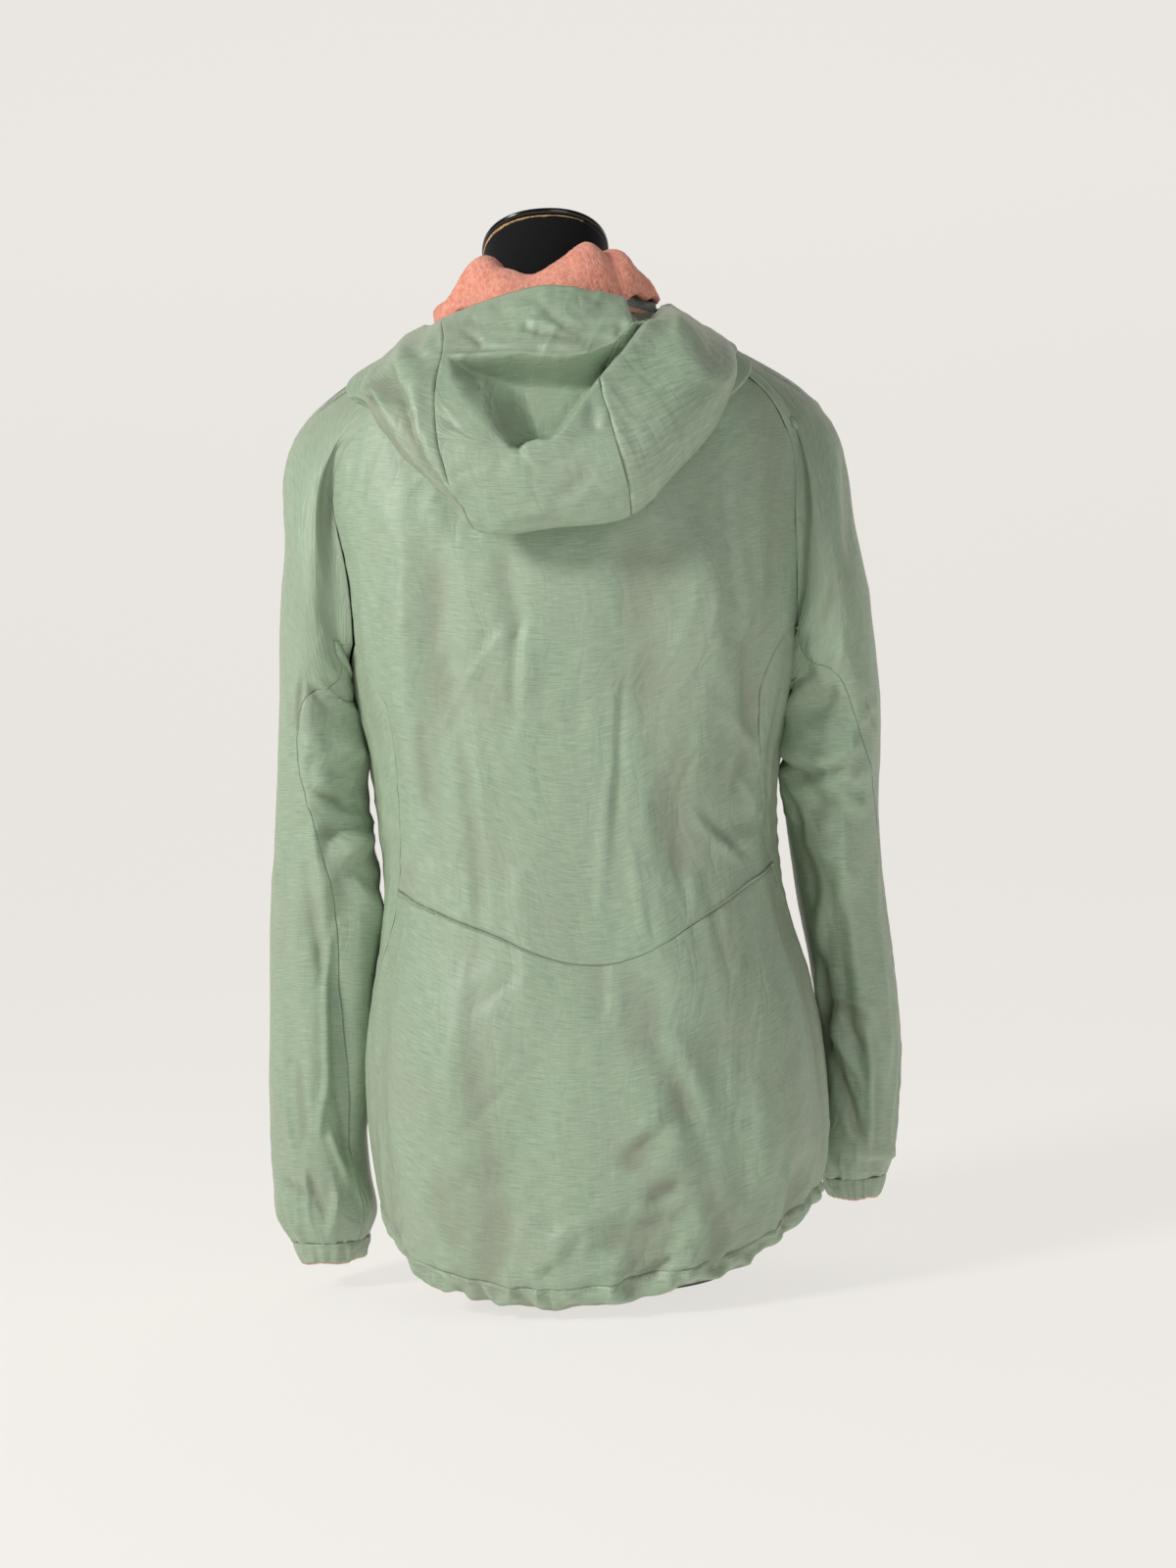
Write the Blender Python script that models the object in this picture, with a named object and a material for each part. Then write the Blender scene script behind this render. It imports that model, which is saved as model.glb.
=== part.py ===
"""A women's hooded, insulated jacket on a limbless dress form, seen best from its back.

Metres, +Z up. +X is the wearer's right, -Y the wearer's back. The origin is the middle of the form's
flat underside. A place on the body of the jacket is a turn about the upright axis, in degrees (0 at the
middle of the back, +90 at the right side, 180 at the zip), and a height.
"""

import math

import bmesh
import bpy
import numpy as np
from mathutils import Matrix

# ---- Driving sizes -------------------------------------------------------------------------------

SHELL = 0.002  # shell, wadding and lining, sewn as one wall
PILE = 0.006  # the deep pile of the hood's lining
SEAM_GAP = 0.0003  # the line of a seam between two pieces
ZIP_HALF = 0.0072  # from the middle of the front to the edge of each front
ZIP_TAPE = 0.0012
ZIP_ENDS = (0.001, 0.004)  # above the hem's edge, and below the neck seam where the hood's front begins
CASING_TALL = 0.0165  # the elastic casing along the hem
CASING_WALL = 0.003
CUFF_TALL = 0.016
CUFF_WALL = 0.0024
CUFF_PULLED = 0.0045  # how far the elastic draws in the end of the cuff
CUFF_EASED = 0.0004  # how far its top stands outside the sleeve's last section
MILLIMETRE = 0.001

# Rows and columns of each piece's cloth, counted so that neighbours meet point to point.
ROWS_HEM = 8  # hem to waist
ROWS_WAIST = 7  # waist to armhole
ROWS_RAGLAN = 8  # armhole to neck
COLUMNS_BACK = 16
COLUMNS_FRONT = 6
COLUMNS_SIDE = 6
COLUMNS_NECK = 4  # the sleeve's short edge at the neck
ROWS_SLEEVE = 17
ROWS_ZIP = 36

# The jacket's body, a row for each level section: height, shift to the right, half width, depth of the
# back, depth of the front, and squareness (2 is an ellipse).
BODY = (
    (0.000, 0.0000, 0.1500, 0.1320, 0.1300, 2.20),
    (0.030, 0.0020, 0.1600, 0.1410, 0.1360, 2.20),
    (0.060, 0.0050, 0.1685, 0.1455, 0.1390, 2.20),
    (0.100, 0.0070, 0.1755, 0.1480, 0.1410, 2.20),
    (0.150, 0.0070, 0.1780, 0.1480, 0.1420, 2.25),
    (0.190, 0.0065, 0.1755, 0.1450, 0.1410, 2.25),
    (0.230, 0.0065, 0.1685, 0.1390, 0.1380, 2.30),
    (0.270, 0.0050, 0.1590, 0.1320, 0.1340, 2.30),
    (0.310, 0.0040, 0.1530, 0.1280, 0.1320, 2.30),
    (0.360, 0.0025, 0.1535, 0.1270, 0.1340, 2.30),
    (0.420, 0.0040, 0.1620, 0.1290, 0.1410, 2.30),
    (0.460, 0.0050, 0.1710, 0.1310, 0.1460, 2.35),
    (0.500, 0.0060, 0.1780, 0.1320, 0.1470, 2.40),
    (0.560, 0.0060, 0.1870, 0.1300, 0.1400, 2.40),
    (0.600, 0.0050, 0.1920, 0.1260, 0.1290, 2.40),
    (0.640, 0.0050, 0.1930, 0.1185, 0.1135, 2.40),
    (0.670, 0.0040, 0.1870, 0.1100, 0.0980, 2.35),
    (0.690, 0.0020, 0.1700, 0.1030, 0.0870, 2.30),
    (0.705, 0.0000, 0.1440, 0.0965, 0.0780, 2.25),
    (0.720, 0.0000, 0.1150, 0.0895, 0.0690, 2.20),
    (0.735, 0.0000, 0.0870, 0.0810, 0.0610, 2.15),
    (0.750, 0.0000, 0.0620, 0.0700, 0.0530, 2.10),
)

# Seams, a row for each bend: height, turn to the left, turn to the right.
RAGLAN_BACK = (
    (0.741, 45.0, 45.0),
    (0.715, 40.5, 42.0),
    (0.687, 41.5, 50.0),
    (0.660, 46.7, 55.0),
    (0.642, 53.5, 58.5),
    (0.625, 59.0, 61.0),
    (0.605, 62.8, 62.5),
    (0.580, 62.7, 62.6),
    (0.550, 62.0, 64.5),
    (0.520, 63.5, 68.0),
    (0.496, 67.0, 70.0),
)
RAGLAN_FRONT = (
    (0.725, 135.0, 135.0),
    (0.700, 130.0, 130.0),
    (0.670, 126.0, 126.0),
    (0.640, 122.5, 122.5),
    (0.600, 119.5, 119.5),
    (0.550, 116.0, 116.0),
    (0.500, 111.0, 111.0),
)
ARMHOLE = (
    (0.496, 67.0, 70.0),
    (0.480, 78.0, 79.0),
    (0.463, 92.0, 92.0),
    (0.482, 103.0, 103.0),
    (0.500, 111.0, 111.0),
)
SIDE_BACK_UPPER = (
    (0.312, 63.8, 72.5),
    (0.338, 60.2, 68.0),
    (0.360, 58.0, 64.9),
    (0.397, 55.4, 58.6),
    (0.426, 53.7, 55.6),
    (0.446, 53.2, 54.0),
    (0.463, 56.0, 55.2),
    (0.481, 61.8, 59.5),
    (0.496, 67.0, 70.0),
)
SIDE_BACK_LOWER = (
    (0.060, 96.0, 97.0),
    (0.120, 93.0, 94.0),
    (0.190, 87.0, 88.0),
    (0.241, 76.5, 81.0),
    (0.280, 67.8, 77.0),
    (0.312, 63.8, 72.5),
)
SIDE_FRONT_UPPER = (
    (0.312, 110.0, 110.0),
    (0.380, 110.5, 110.5),
    (0.440, 112.0, 112.0),
    (0.500, 111.0, 111.0),
)
SIDE_FRONT_LOWER = (
    (0.060, 119.0, 119.0),
    (0.150, 116.0, 116.0),
    (0.240, 112.0, 112.0),
    (0.312, 110.0, 110.0),
)
# The seam across the back: turn, height.
WAIST = (
    (-63.8, 0.3070),
    (-45.7, 0.2956),
    (-33.6, 0.2856),
    (-21.0, 0.2741),
    (-10.5, 0.2604),
    (-3.8, 0.2535),
    (1.2, 0.2510),
    (12.1, 0.2575),
    (26.4, 0.2767),
    (37.0, 0.2890),
    (51.0, 0.3039),
    (72.5, 0.3165),
)
# The lower edge of the jacket, which dips behind: turn, height.
HEM = (
    (-180.0, 0.0540),
    (-120.0, 0.0530),
    (-90.0, 0.0510),
    (-72.0, 0.0420),
    (-59.0, 0.0250),
    (-46.0, 0.0140),
    (-26.0, 0.0050),
    (-5.0, 0.0035),
    (5.0, 0.0060),
    (15.0, 0.0110),
    (30.0, 0.0155),
    (46.0, 0.0280),
    (60.0, 0.0420),
    (75.0, 0.0530),
    (120.0, 0.0550),
    (180.0, 0.0540),
)

BODY_RADIUS = 0.155  # mean radii, to turn degrees into metres of cloth
SLEEVE_RADIUS = 0.055
NECK_PLAIN = 0.03  # the folds fade out this far below the neck

# Folds hanging on the body, a row each: turn and height of one end, turn and height of the other, half
# width, and how far it stands out (a hollow is negative).
BODY_FOLDS = (
    (-40.0, 0.560, -47.0, 0.350, 0.017, 0.0045),
    (-24.0, 0.560, -27.0, 0.400, 0.012, -0.0030),
    (25.0, 0.600, 30.0, 0.330, 0.022, 0.0040),
    (6.0, 0.540, 4.0, 0.330, 0.030, -0.0045),
    (47.0, 0.520, 50.0, 0.380, 0.012, -0.0030),
    (66.0, 0.350, 30.0, 0.345, 0.010, -0.0025),
    (-60.0, 0.330, -34.0, 0.345, 0.010, -0.0022),
    (-32.0, 0.250, -40.0, 0.050, 0.022, 0.0045),
    (-12.0, 0.235, -15.0, 0.050, 0.018, -0.0035),
    (8.0, 0.230, 10.0, 0.060, 0.022, 0.0035),
    (27.0, 0.230, 31.0, 0.060, 0.016, -0.0035),
    (50.0, 0.240, 54.0, 0.070, 0.020, 0.0040),
    (-66.0, 0.240, -70.0, 0.080, 0.016, -0.0030),
    (150.0, 0.620, 144.0, 0.400, 0.020, 0.0040),
    (-150.0, 0.610, -143.0, 0.390, 0.020, 0.0040),
    (158.0, 0.300, 150.0, 0.080, 0.020, 0.0040),
    (-157.0, 0.310, -151.0, 0.080, 0.020, 0.0040),
    (-128.0, 0.520, -150.0, 0.450, 0.012, -0.0030),
    (128.0, 0.520, 150.0, 0.455, 0.012, -0.0030),
    (101.0, 0.420, 118.0, 0.330, 0.013, -0.0030),
    (-101.0, 0.420, -118.0, 0.330, 0.013, -0.0030),
)

# The head of each sleeve, a row for each slanting section: distance out and height of its top, distance
# out and height of its lowest point, half depth.
SLEEVE_HEAD = {
    "left": ((0.1945, 0.671, 0.1690, 0.4600, 0.080), (0.2138, 0.565, 0.1697, 0.4535, 0.078)),
    "right": ((0.2005, 0.672, 0.1785, 0.4600, 0.080), (0.2290, 0.565, 0.1775, 0.4535, 0.078)),
}
# The empty, hanging sleeve, a row for each level section: height, nearest the body, farthest out, middle's
# distance forward, half depth, and the turn of the back and front seams from the outer side.
SLEEVE = {
    "left": (
        (0.447, 0.1700, 0.2244, 0.010, 0.074, 77.0, 100.0),
        (0.405, 0.1635, 0.2283, 0.012, 0.068, 72.0, 100.0),
        (0.360, 0.1600, 0.2340, 0.016, 0.060, 90.0, 96.0),
        (0.300, 0.1625, 0.2407, 0.024, 0.054, 110.0, 90.0),
        (0.225, 0.1750, 0.2472, 0.034, 0.052, 125.0, 80.0),
        (0.145, 0.1790, 0.2524, 0.042, 0.050, 133.0, 74.0),
        (0.083, 0.1770, 0.2534, 0.047, 0.046, 138.0, 70.0),
        (0.050, 0.1745, 0.2505, 0.049, 0.041, 140.0, 70.0),
        (0.034, 0.1810, 0.2415, 0.050, 0.033, 140.0, 70.0),
    ),
    "right": (
        (0.447, 0.1775, 0.2408, 0.010, 0.074, 93.0, 92.0),
        (0.405, 0.1700, 0.2395, 0.013, 0.068, 62.0, 104.0),
        (0.360, 0.1650, 0.2363, 0.018, 0.060, 32.0, 128.0),
        (0.300, 0.1695, 0.2374, 0.028, 0.054, 22.0, 150.0),
        (0.225, 0.1800, 0.2450, 0.039, 0.052, 20.0, 165.0),
        (0.157, 0.1850, 0.2472, 0.048, 0.050, 20.0, 178.0),
        (0.110, 0.1810, 0.2430, 0.052, 0.046, 20.0, 188.0),
        (0.080, 0.1770, 0.2390, 0.054, 0.041, 20.0, 190.0),
        (0.062, 0.1820, 0.2320, 0.055, 0.033, 20.0, 190.0),
    ),
}
HEAD_SEAM = 131.0  # turn of both sleeve seams where the head's slanting sections cross them
# Folds on the sleeves: turn from the outer side and height of each end, half width, stand-out.
SLEEVE_FOLDS = {
    "left": (
        (60.0, 0.640, 78.0, 0.520, 0.014, -0.0035),
        (150.0, 0.430, 84.0, 0.385, 0.010, 0.0045),
        (160.0, 0.395, 92.0, 0.345, 0.010, -0.0045),
        (152.0, 0.360, 86.0, 0.305, 0.010, 0.0045),
        (40.0, 0.340, 96.0, 0.270, 0.012, -0.0030),
        (100.0, 0.260, 92.0, 0.120, 0.012, 0.0035),
        (60.0, 0.240, 66.0, 0.100, 0.010, -0.0028),
        (-60.0, 0.400, -110.0, 0.350, 0.011, 0.0035),
        (-70.0, 0.340, -115.0, 0.300, 0.011, -0.0035),
        (-80.0, 0.240, -86.0, 0.110, 0.012, 0.0030),
    ),
    "right": (
        (58.0, 0.640, 76.0, 0.520, 0.014, -0.0035),
        (150.0, 0.440, 70.0, 0.420, 0.010, -0.0050),
        (155.0, 0.410, 66.0, 0.375, 0.010, 0.0050),
        (160.0, 0.380, 60.0, 0.335, 0.010, -0.0045),
        (150.0, 0.345, 64.0, 0.290, 0.011, 0.0045),
        (84.0, 0.250, 76.0, 0.120, 0.012, 0.0035),
        (112.0, 0.250, 104.0, 0.110, 0.010, -0.0030),
        (-60.0, 0.400, -110.0, 0.350, 0.011, 0.0035),
        (-70.0, 0.340, -115.0, 0.300, 0.011, -0.0035),
        (-80.0, 0.240, -86.0, 0.110, 0.012, 0.0030),
    ),
}

# The hood, thrown back, as a bag round the neck. A row for each station, from the zip round the left side,
# the back and the right side to the zip again: turn, then three sizes each (to the right, forward, height,
# in millimetres) for the face edge, the upper side, the belly and the lowest point.
HOOD = (
    (-174.0, (-7.2, 79, 762), (-7.2, 81.5, 752), (-7.2, 81, 742), (-7.2, 78.5, 732)),
    (-140.0, (-62, 67, 762), (-67, 71, 754), (-69, 72, 745), (-70, 70, 736)),
    (-105.0, (-85, 12, 750), (-98, 12, 747), (-108, 12, 740), (-108, 12, 733)),
    (-75.0, (-95, -25, 747), (-116, -36, 739), (-135, -48, 722), (-145, -54, 706)),
    (-52.0, (-82, -84, 733), (-118, -108, 712), (-140, -122, 678), (-123, -120, 638)),
    (-32.0, (-54, -112, 737), (-80, -140, 702), (-108, -162, 640), (-90, -154, 597)),
    (-18.0, (-30, -123, 742), (-42, -148, 698), (-66, -180, 618), (-58, -162, 567)),
    (0.0, (0, -127, 746), (0, -152, 698), (-2, -186, 612), (-2, -165, 566)),
    (18.0, (32, -122, 742), (42, -148, 699), (60, -180, 620), (54, -161, 573)),
    (32.0, (56, -110, 738), (82, -140, 704), (100, -160, 645), (84, -150, 600)),
    (52.0, (78, -86, 735), (114, -112, 716), (134, -120, 680), (120, -118, 641)),
    (75.0, (92, -30, 746), (116, -40, 741), (134, -50, 724), (141, -54, 708)),
    (105.0, (85, 12, 750), (98, 12, 747), (108, 12, 740), (108, 12, 733)),
    (140.0, (62, 67, 762), (67, 71, 754), (69, 72, 745), (70, 70, 736)),
    (174.0, (7.2, 79, 762), (7.2, 81.5, 752), (7.2, 81, 742), (7.2, 78.5, 732)),
)
HOOD_COLUMNS = (14, 9, 14)  # left panel, middle panel, right panel
HOOD_ROWS = 14
# How the bag turns up from its lowest point to the neck seam: shares of the way to the neck.
HOOD_RETURN = (0.38, 0.72)
HOOD_CLEAR = 0.0055  # between the bag and the body under it
HOOD_OUTSIDE = (0.58, 0.12)  # share of the way where the outer side ends, and how softly
NECK_LIFT = 0.0020  # the hood's neck seam above the body's
NECK_CLEAR = ((70.0, 110.0), (0.0010, 0.0034))  # and outside it: turns, distances
# The two seams of the hood's middle panel, from face edge to neck: share of the way, turn.
HOOD_SEAM_LEFT = (
    (0.0, -47.0),
    (0.10, -34.5),
    (0.24, -27.2),
    (0.32, -23.6),
    (0.40, -21.1),
    (0.48, -18.4),
    (0.56, -17.5),
    (0.80, -23.5),
    (1.0, -30.0),
)
HOOD_SEAM_RIGHT = (
    (0.0, 35.0),
    (0.12, 25.5),
    (0.20, 19.5),
    (0.28, 14.5),
    (0.36, 13.6),
    (0.44, 16.4),
    (0.56, 18.5),
    (0.80, 24.0),
    (1.0, 30.0),
)
# The hollow that the hood's middle falls into: direction about its middle (0 to the right, 90 up), reach,
# and the width of its lip, which is sharp where the right side folds over it.
HOLLOW_MIDDLE = (-0.006, 0.664)
HOLLOW_DEEP = 0.022
HOLLOW = (
    (-180.0, 0.068, 0.034),
    (-140.0, 0.052, 0.026),
    (-100.0, 0.044, 0.018),
    (-70.0, 0.040, 0.010),
    (-45.0, 0.034, 0.007),
    (-20.0, 0.036, 0.006),
    (10.0, 0.052, 0.006),
    (28.0, 0.070, 0.007),
    (50.0, 0.060, 0.018),
    (90.0, 0.034, 0.022),
    (130.0, 0.052, 0.026),
    (180.0, 0.068, 0.034),
)
# Folds on the hood, as seen from behind: to the right and height of each end, half width, stand-out.
HOOD_FOLDS = (
    (-0.133, 0.722, -0.112, 0.632, 0.007, -0.0060),
    (-0.112, 0.632, -0.074, 0.580, 0.007, -0.0040),
    (-0.118, 0.735, -0.086, 0.660, 0.010, 0.0050),
    (0.100, 0.735, 0.110, 0.660, 0.014, 0.0050),
    (-0.075, 0.695, 0.058, 0.698, 0.006, -0.0025),
)

# The pile lining that stands round the neck and rolls over into the hood. A row for each station: turn,
# height of the crown, how far the crown stands in from the neck seam, and how far the roll reaches out
# and down past the crown.
COLLAR = (
    (-174.0, 0.7600, -0.0035, 0.0010, -0.0060),
    (-140.0, 0.7580, 0.0025, 0.0010, -0.0050),
    (-112.0, 0.7520, 0.0045, 0.0050, -0.0010),
    (-88.0, 0.7570, 0.0050, 0.0125, 0.0040),
    (-66.0, 0.7640, 0.0060, 0.0240, 0.0110),
    (-50.0, 0.7700, 0.0070, 0.0290, 0.0220),
    (-33.0, 0.7805, 0.0080, 0.0240, 0.0400),
    (-20.0, 0.7700, 0.0060, 0.0240, 0.0400),
    (-6.0, 0.7625, 0.0050, 0.0240, 0.0380),
    (8.0, 0.7740, 0.0060, 0.0240, 0.0400),
    (20.0, 0.7845, 0.0080, 0.0240, 0.0420),
    (30.0, 0.7800, 0.0075, 0.0240, 0.0380),
    (42.0, 0.7800, 0.0070, 0.0250, 0.0330),
    (60.0, 0.7710, 0.0060, 0.0240, 0.0150),
    (88.0, 0.7570, 0.0050, 0.0120, 0.0040),
    (112.0, 0.7520, 0.0045, 0.0050, -0.0010),
    (140.0, 0.7580, 0.0025, 0.0010, -0.0050),
    (174.0, 0.7600, -0.0035, 0.0010, -0.0060),
)
COLLAR_COLUMNS = 40
COLLAR_ROWS = 8
COLLAR_INSET = 0.0018  # between the body's inner face and the pile
COLLAR_FOOT = 0.003  # how far the lining reaches below the neck seam
COLLAR_RADIUS = 0.062  # of the neck where the lining ends at the zip
# The lining's line past its foot: share of the height, share of the reach.
COLLAR_RISE = ((0.45, 0.0), (0.92, 0.30))
# From its crown on: share of the reach farther out, share of the drop.
COLLAR_FALL = ((0.0, 0.0), (0.45, 0.45), (0.60, 1.0))
COLLAR_SINK = 0.12  # share of the drop that the crown itself gives way

HEM_GATHERS = 44
CUFF_GATHERS = 14
GATHER_DEEP = 0.0013
# The rows of the hem casing: share of its height, share of the gathers' depth.
CASING_ROWS = ((0.0, 0.6), (1.0, 0.8))
CASING_PROUD = 0.0004  # how far the casing stands out from the panels above it
HEM_AT_ZIP = 0.06

# The dress form, a row for each level section: height, half width, depth of the back, depth of the front.
FORM = (
    (0.000, 0.0960, 0.0720, 0.0760),
    (0.006, 0.1040, 0.0800, 0.0840),
    (0.025, 0.1180, 0.0900, 0.0920),
    (0.070, 0.1420, 0.1080, 0.1040),
    (0.130, 0.1590, 0.1210, 0.1120),
    (0.200, 0.1540, 0.1160, 0.1100),
    (0.270, 0.1370, 0.1040, 0.1020),
    (0.337, 0.1270, 0.0960, 0.0980),
    (0.400, 0.1320, 0.1000, 0.1060),
    (0.470, 0.1440, 0.1080, 0.1220),
    (0.540, 0.1520, 0.1120, 0.1260),
    (0.600, 0.1560, 0.1090, 0.1120),
    (0.640, 0.1570, 0.1020, 0.0960),
    (0.670, 0.1580, 0.0960, 0.0800),
    (0.690, 0.1548, 0.0905, 0.0695),
    (0.702, 0.1425, 0.0868, 0.0617),
    (0.714, 0.1190, 0.0805, 0.0552),
    (0.726, 0.0865, 0.0712, 0.0520),
    (0.738, 0.0610, 0.0590, 0.0505),
    (0.748, 0.0530, 0.0530, 0.0495),
    (0.760, 0.0500, 0.0500, 0.0490),
    (0.775, 0.0480, 0.0480, 0.0480),
    (0.793, 0.0478, 0.0478, 0.0478),
)
FORM_SQUARE = 2.2
FORM_COLUMNS = 24
# The form's rings: lowest, highest, count.
FORM_ROWS = ((0.0, 0.006, 2), (0.025, 0.025, 1), (0.070, 0.640, 10), (0.665, 0.755, 8), (0.768, 0.793, 2))
NECK_TILT = math.radians(24.0)
NECK_TURN = (0.745, 0.040)  # where the tilt begins, and over what height it comes in
# The cap on the form's neck: height above the neck, radius.
CAP = (
    (0.0003, 0.0470),
    (0.0015, 0.0488),
    (0.0040, 0.0490),
    (0.0055, 0.0475),
    (0.0080, 0.0390),
    (0.0100, 0.0250),
    (0.0108, 0.0100),
)

# The zip's slider and the pull that swings on it.
SLIDER_HEIGHT = 0.744
SLIDER_WIDE = 0.0090
SLIDER_TALL = 0.0110
SLIDER_DEEP = 0.0026
EAR_WIDE = 0.0011
EAR_INNER = 0.0022  # from the middle to the inner face of each ear
PIN_OUT = 0.0029  # from the slider's face to the middle of the pin
PIN_RADIUS = 0.0006
BARREL_RADIUS = 0.0016
BARREL_HOLE = 0.0009
BARREL_HALF = 0.0019
PIN_RAISED = 0.0010  # the pin above the slider's middle
EAR_HALF = 0.0016
EAR_PAST = 0.0013  # how far an ear reaches past the middle of the pin
EAR_SUNK = 0.0006
PULL_TOP = 0.0032  # the tab's upper end below the pin
EDGE = 0.0003  # the worn edge of the metal pieces
ROD_SIDES = 16
PULL_NECK = (0.0014, 0.0040, 0.0011)  # half width, lower end and upper end below the pin
PULL_LONG = 0.0230
PULL_WIDE = 0.0062
PULL_THICK = 0.0012

COLOURS = {
    "shell": (0.255, 0.343, 0.224, 0.72, 0.0),
    "pile": (0.800, 0.352, 0.250, 0.95, 0.0),
    "form": (0.012, 0.012, 0.013, 0.80, 0.0),
    "cap": (0.010, 0.010, 0.011, 0.25, 0.0),
    "zip": (0.205, 0.275, 0.190, 0.60, 0.0),
    "metal": (0.600, 0.590, 0.570, 0.32, 1.0),
}


# ---- Reading the tables --------------------------------------------------------------------------


def between(part, start, leave, end, arrive):
    """The curve from start to end that leaves and arrives by the given steps."""
    return (
        (2 * part**3 - 3 * part**2 + 1) * start
        + (part**3 - 2 * part**2 + part) * leave
        + (-2 * part**3 + 3 * part**2) * end
        + (part**3 - part**2) * arrive
    )


def smooth(keys, rows, places):
    """A smooth curve through the rows of a table, read at the given places along its keys."""
    keys = np.asarray(keys, float)
    rows = np.asarray(rows, float)
    slopes = np.gradient(rows, keys, axis=0)
    places = np.clip(np.asarray(places, float), keys[0], keys[-1])
    low = np.clip(np.searchsorted(keys, places) - 1, 0, len(keys) - 2)
    step = keys[low + 1] - keys[low]
    part = (places - keys[low]) / step
    extra = (1,) * (rows.ndim - 1)
    part = part.reshape(part.shape + extra)
    step = step.reshape(step.shape + extra)
    return between(part, rows[low], step * slopes[low], rows[low + 1], step * slopes[low + 1])


def column(table, number):
    return np.array([row[number] for row in table], float)


def ease(part):
    part = np.clip(part, 0.0, 1.0)
    return part * part * (3 - 2 * part)


def unit(vectors):
    return vectors / np.maximum(np.linalg.norm(vectors, axis=-1, keepdims=True), 1e-12)


def along(points, count):
    """Equal steps along a curve through the given points."""
    points = np.asarray(points, float)
    lengths = np.linalg.norm(np.diff(points, axis=0), axis=1)
    run = np.concatenate([[0.0], np.cumsum(lengths)])
    marks = np.linspace(0.0, run[-1], count + 1)
    return smooth(run, points, marks)


# ---- The body's surface --------------------------------------------------------------------------


def body_surface(turn, height):
    """The plain outer surface of the jacket's body, before its folds."""
    sizes = smooth(column(BODY, 0), [row[1:] for row in BODY], height)
    shift, wide, back, front, square = (sizes[..., k] for k in range(5))
    angle = np.radians(turn)
    side, rear = np.sin(angle), np.cos(angle)
    power = 2.0 / square
    deep = np.where(rear > 0, back, front)
    x = shift + wide * np.sign(side) * np.abs(side) ** power
    y = -deep * np.sign(rear) * np.abs(rear) ** power
    return np.stack([x, y, np.asarray(height, float) + 0 * x], axis=-1)


def body_normal(turn, height):
    turn = np.asarray(turn, float)
    height = np.asarray(height, float)
    across = body_surface(turn + 0.3, height) - body_surface(turn - 0.3, height)
    upward = body_surface(turn, height + 0.0006) - body_surface(turn, height - 0.0006)
    return unit(np.cross(across, upward))


def fold_relief(folds, across, upward):
    """How far a place stands out: each fold fades away from its line and at both ends."""
    relief = np.zeros(np.shape(across))
    for x0, z0, x1, z1, half, out in folds:
        long2 = (x1 - x0) ** 2 + (z1 - z0) ** 2
        part = ((across - x0) * (x1 - x0) + (upward - z0) * (z1 - z0)) / long2
        inside = np.clip(part, 0.0, 1.0)
        gap2 = (across - x0 - inside * (x1 - x0)) ** 2 + (upward - z0 - inside * (z1 - z0)) ** 2
        taper = ease(inside / 0.3) * ease((1.0 - inside) / 0.3)
        relief = relief + out * taper * np.exp(-gap2 / half**2)
    return relief


def on_cloth(folds, radius):
    """Folds with their turns as metres of cloth round a tube of the given mean radius."""
    scale = math.radians(radius)
    return [(row[0] * scale, row[1], row[2] * scale) + row[3:] for row in folds]


def body_relief(turn, height):
    turn = np.asarray(turn, float)
    relief = fold_relief(on_cloth(BODY_FOLDS, BODY_RADIUS), np.radians(turn) * BODY_RADIUS, height)
    return relief * ease((neckline(turn) - height) / NECK_PLAIN)


def neckline(turn):
    angle = np.radians(turn)
    return 0.7345 + 0.013 * np.cos(angle) - 0.0095 * np.cos(2 * angle)


def hem_height(turn):
    return smooth(column(HEM, 0), column(HEM, 1), turn)


def body_cloth(turn, height):
    """The outer face of the cloth on the body, and the way that it faces."""
    normal = body_normal(turn, height)
    return body_surface(turn, height) + body_relief(turn, height)[..., None] * normal, normal


# ---- Seams ---------------------------------------------------------------------------------------


def seam(table, side, count):
    """Equal steps along a seam, as rows of turn and height, on the left (-1) or the right (+1)."""
    turn = side * column(table, 1 if side < 0 else 2)
    height = column(table, 0)
    fine = np.linspace(0.0, 1.0, 120)
    share = np.linspace(0.0, 1.0, len(height))
    turn, height = smooth(share, turn, fine), smooth(share, height, fine)
    steps = np.linalg.norm(np.diff(body_surface(turn, height), axis=0), axis=1)
    run = np.concatenate([[0.0], np.cumsum(steps)])
    marks = np.linspace(0.0, run[-1], count + 1)
    return np.stack([np.interp(marks, run, turn), np.interp(marks, run, height)], axis=1)


def level(turns, heights):
    return np.stack([np.asarray(turns, float), np.asarray(heights, float)], axis=1)


def hem_top(turns):
    return level(turns, hem_height(turns) + CASING_TALL + SEAM_GAP)


def zip_edge(side, heights):
    """The front's edge at the zip, at a fixed distance from the middle."""
    sizes = smooth(column(BODY, 0), [row[1:] for row in BODY], heights)
    reach = ZIP_HALF / sizes[:, 1]
    away = np.degrees(np.arcsin(reach ** (sizes[:, 4] / 2)))
    return level(side * (180.0 - away), heights)


def patch(left, right, bottom, top):
    """Rows of turn and height filling the four seams round a piece, each row from left to right."""
    up = np.linspace(0.0, 1.0, len(left))[:, None, None]
    over = np.linspace(0.0, 1.0, len(bottom))[None, :, None]
    sides = (1 - over) * left[:, None] + over * right[:, None]
    ends = (1 - up) * bottom[None] + up * top[None]
    low, high = (1 - over) * left[0] + over * right[0], (1 - over) * left[-1] + over * right[-1]
    return sides + ends - (1 - up) * low - up * high


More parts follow.
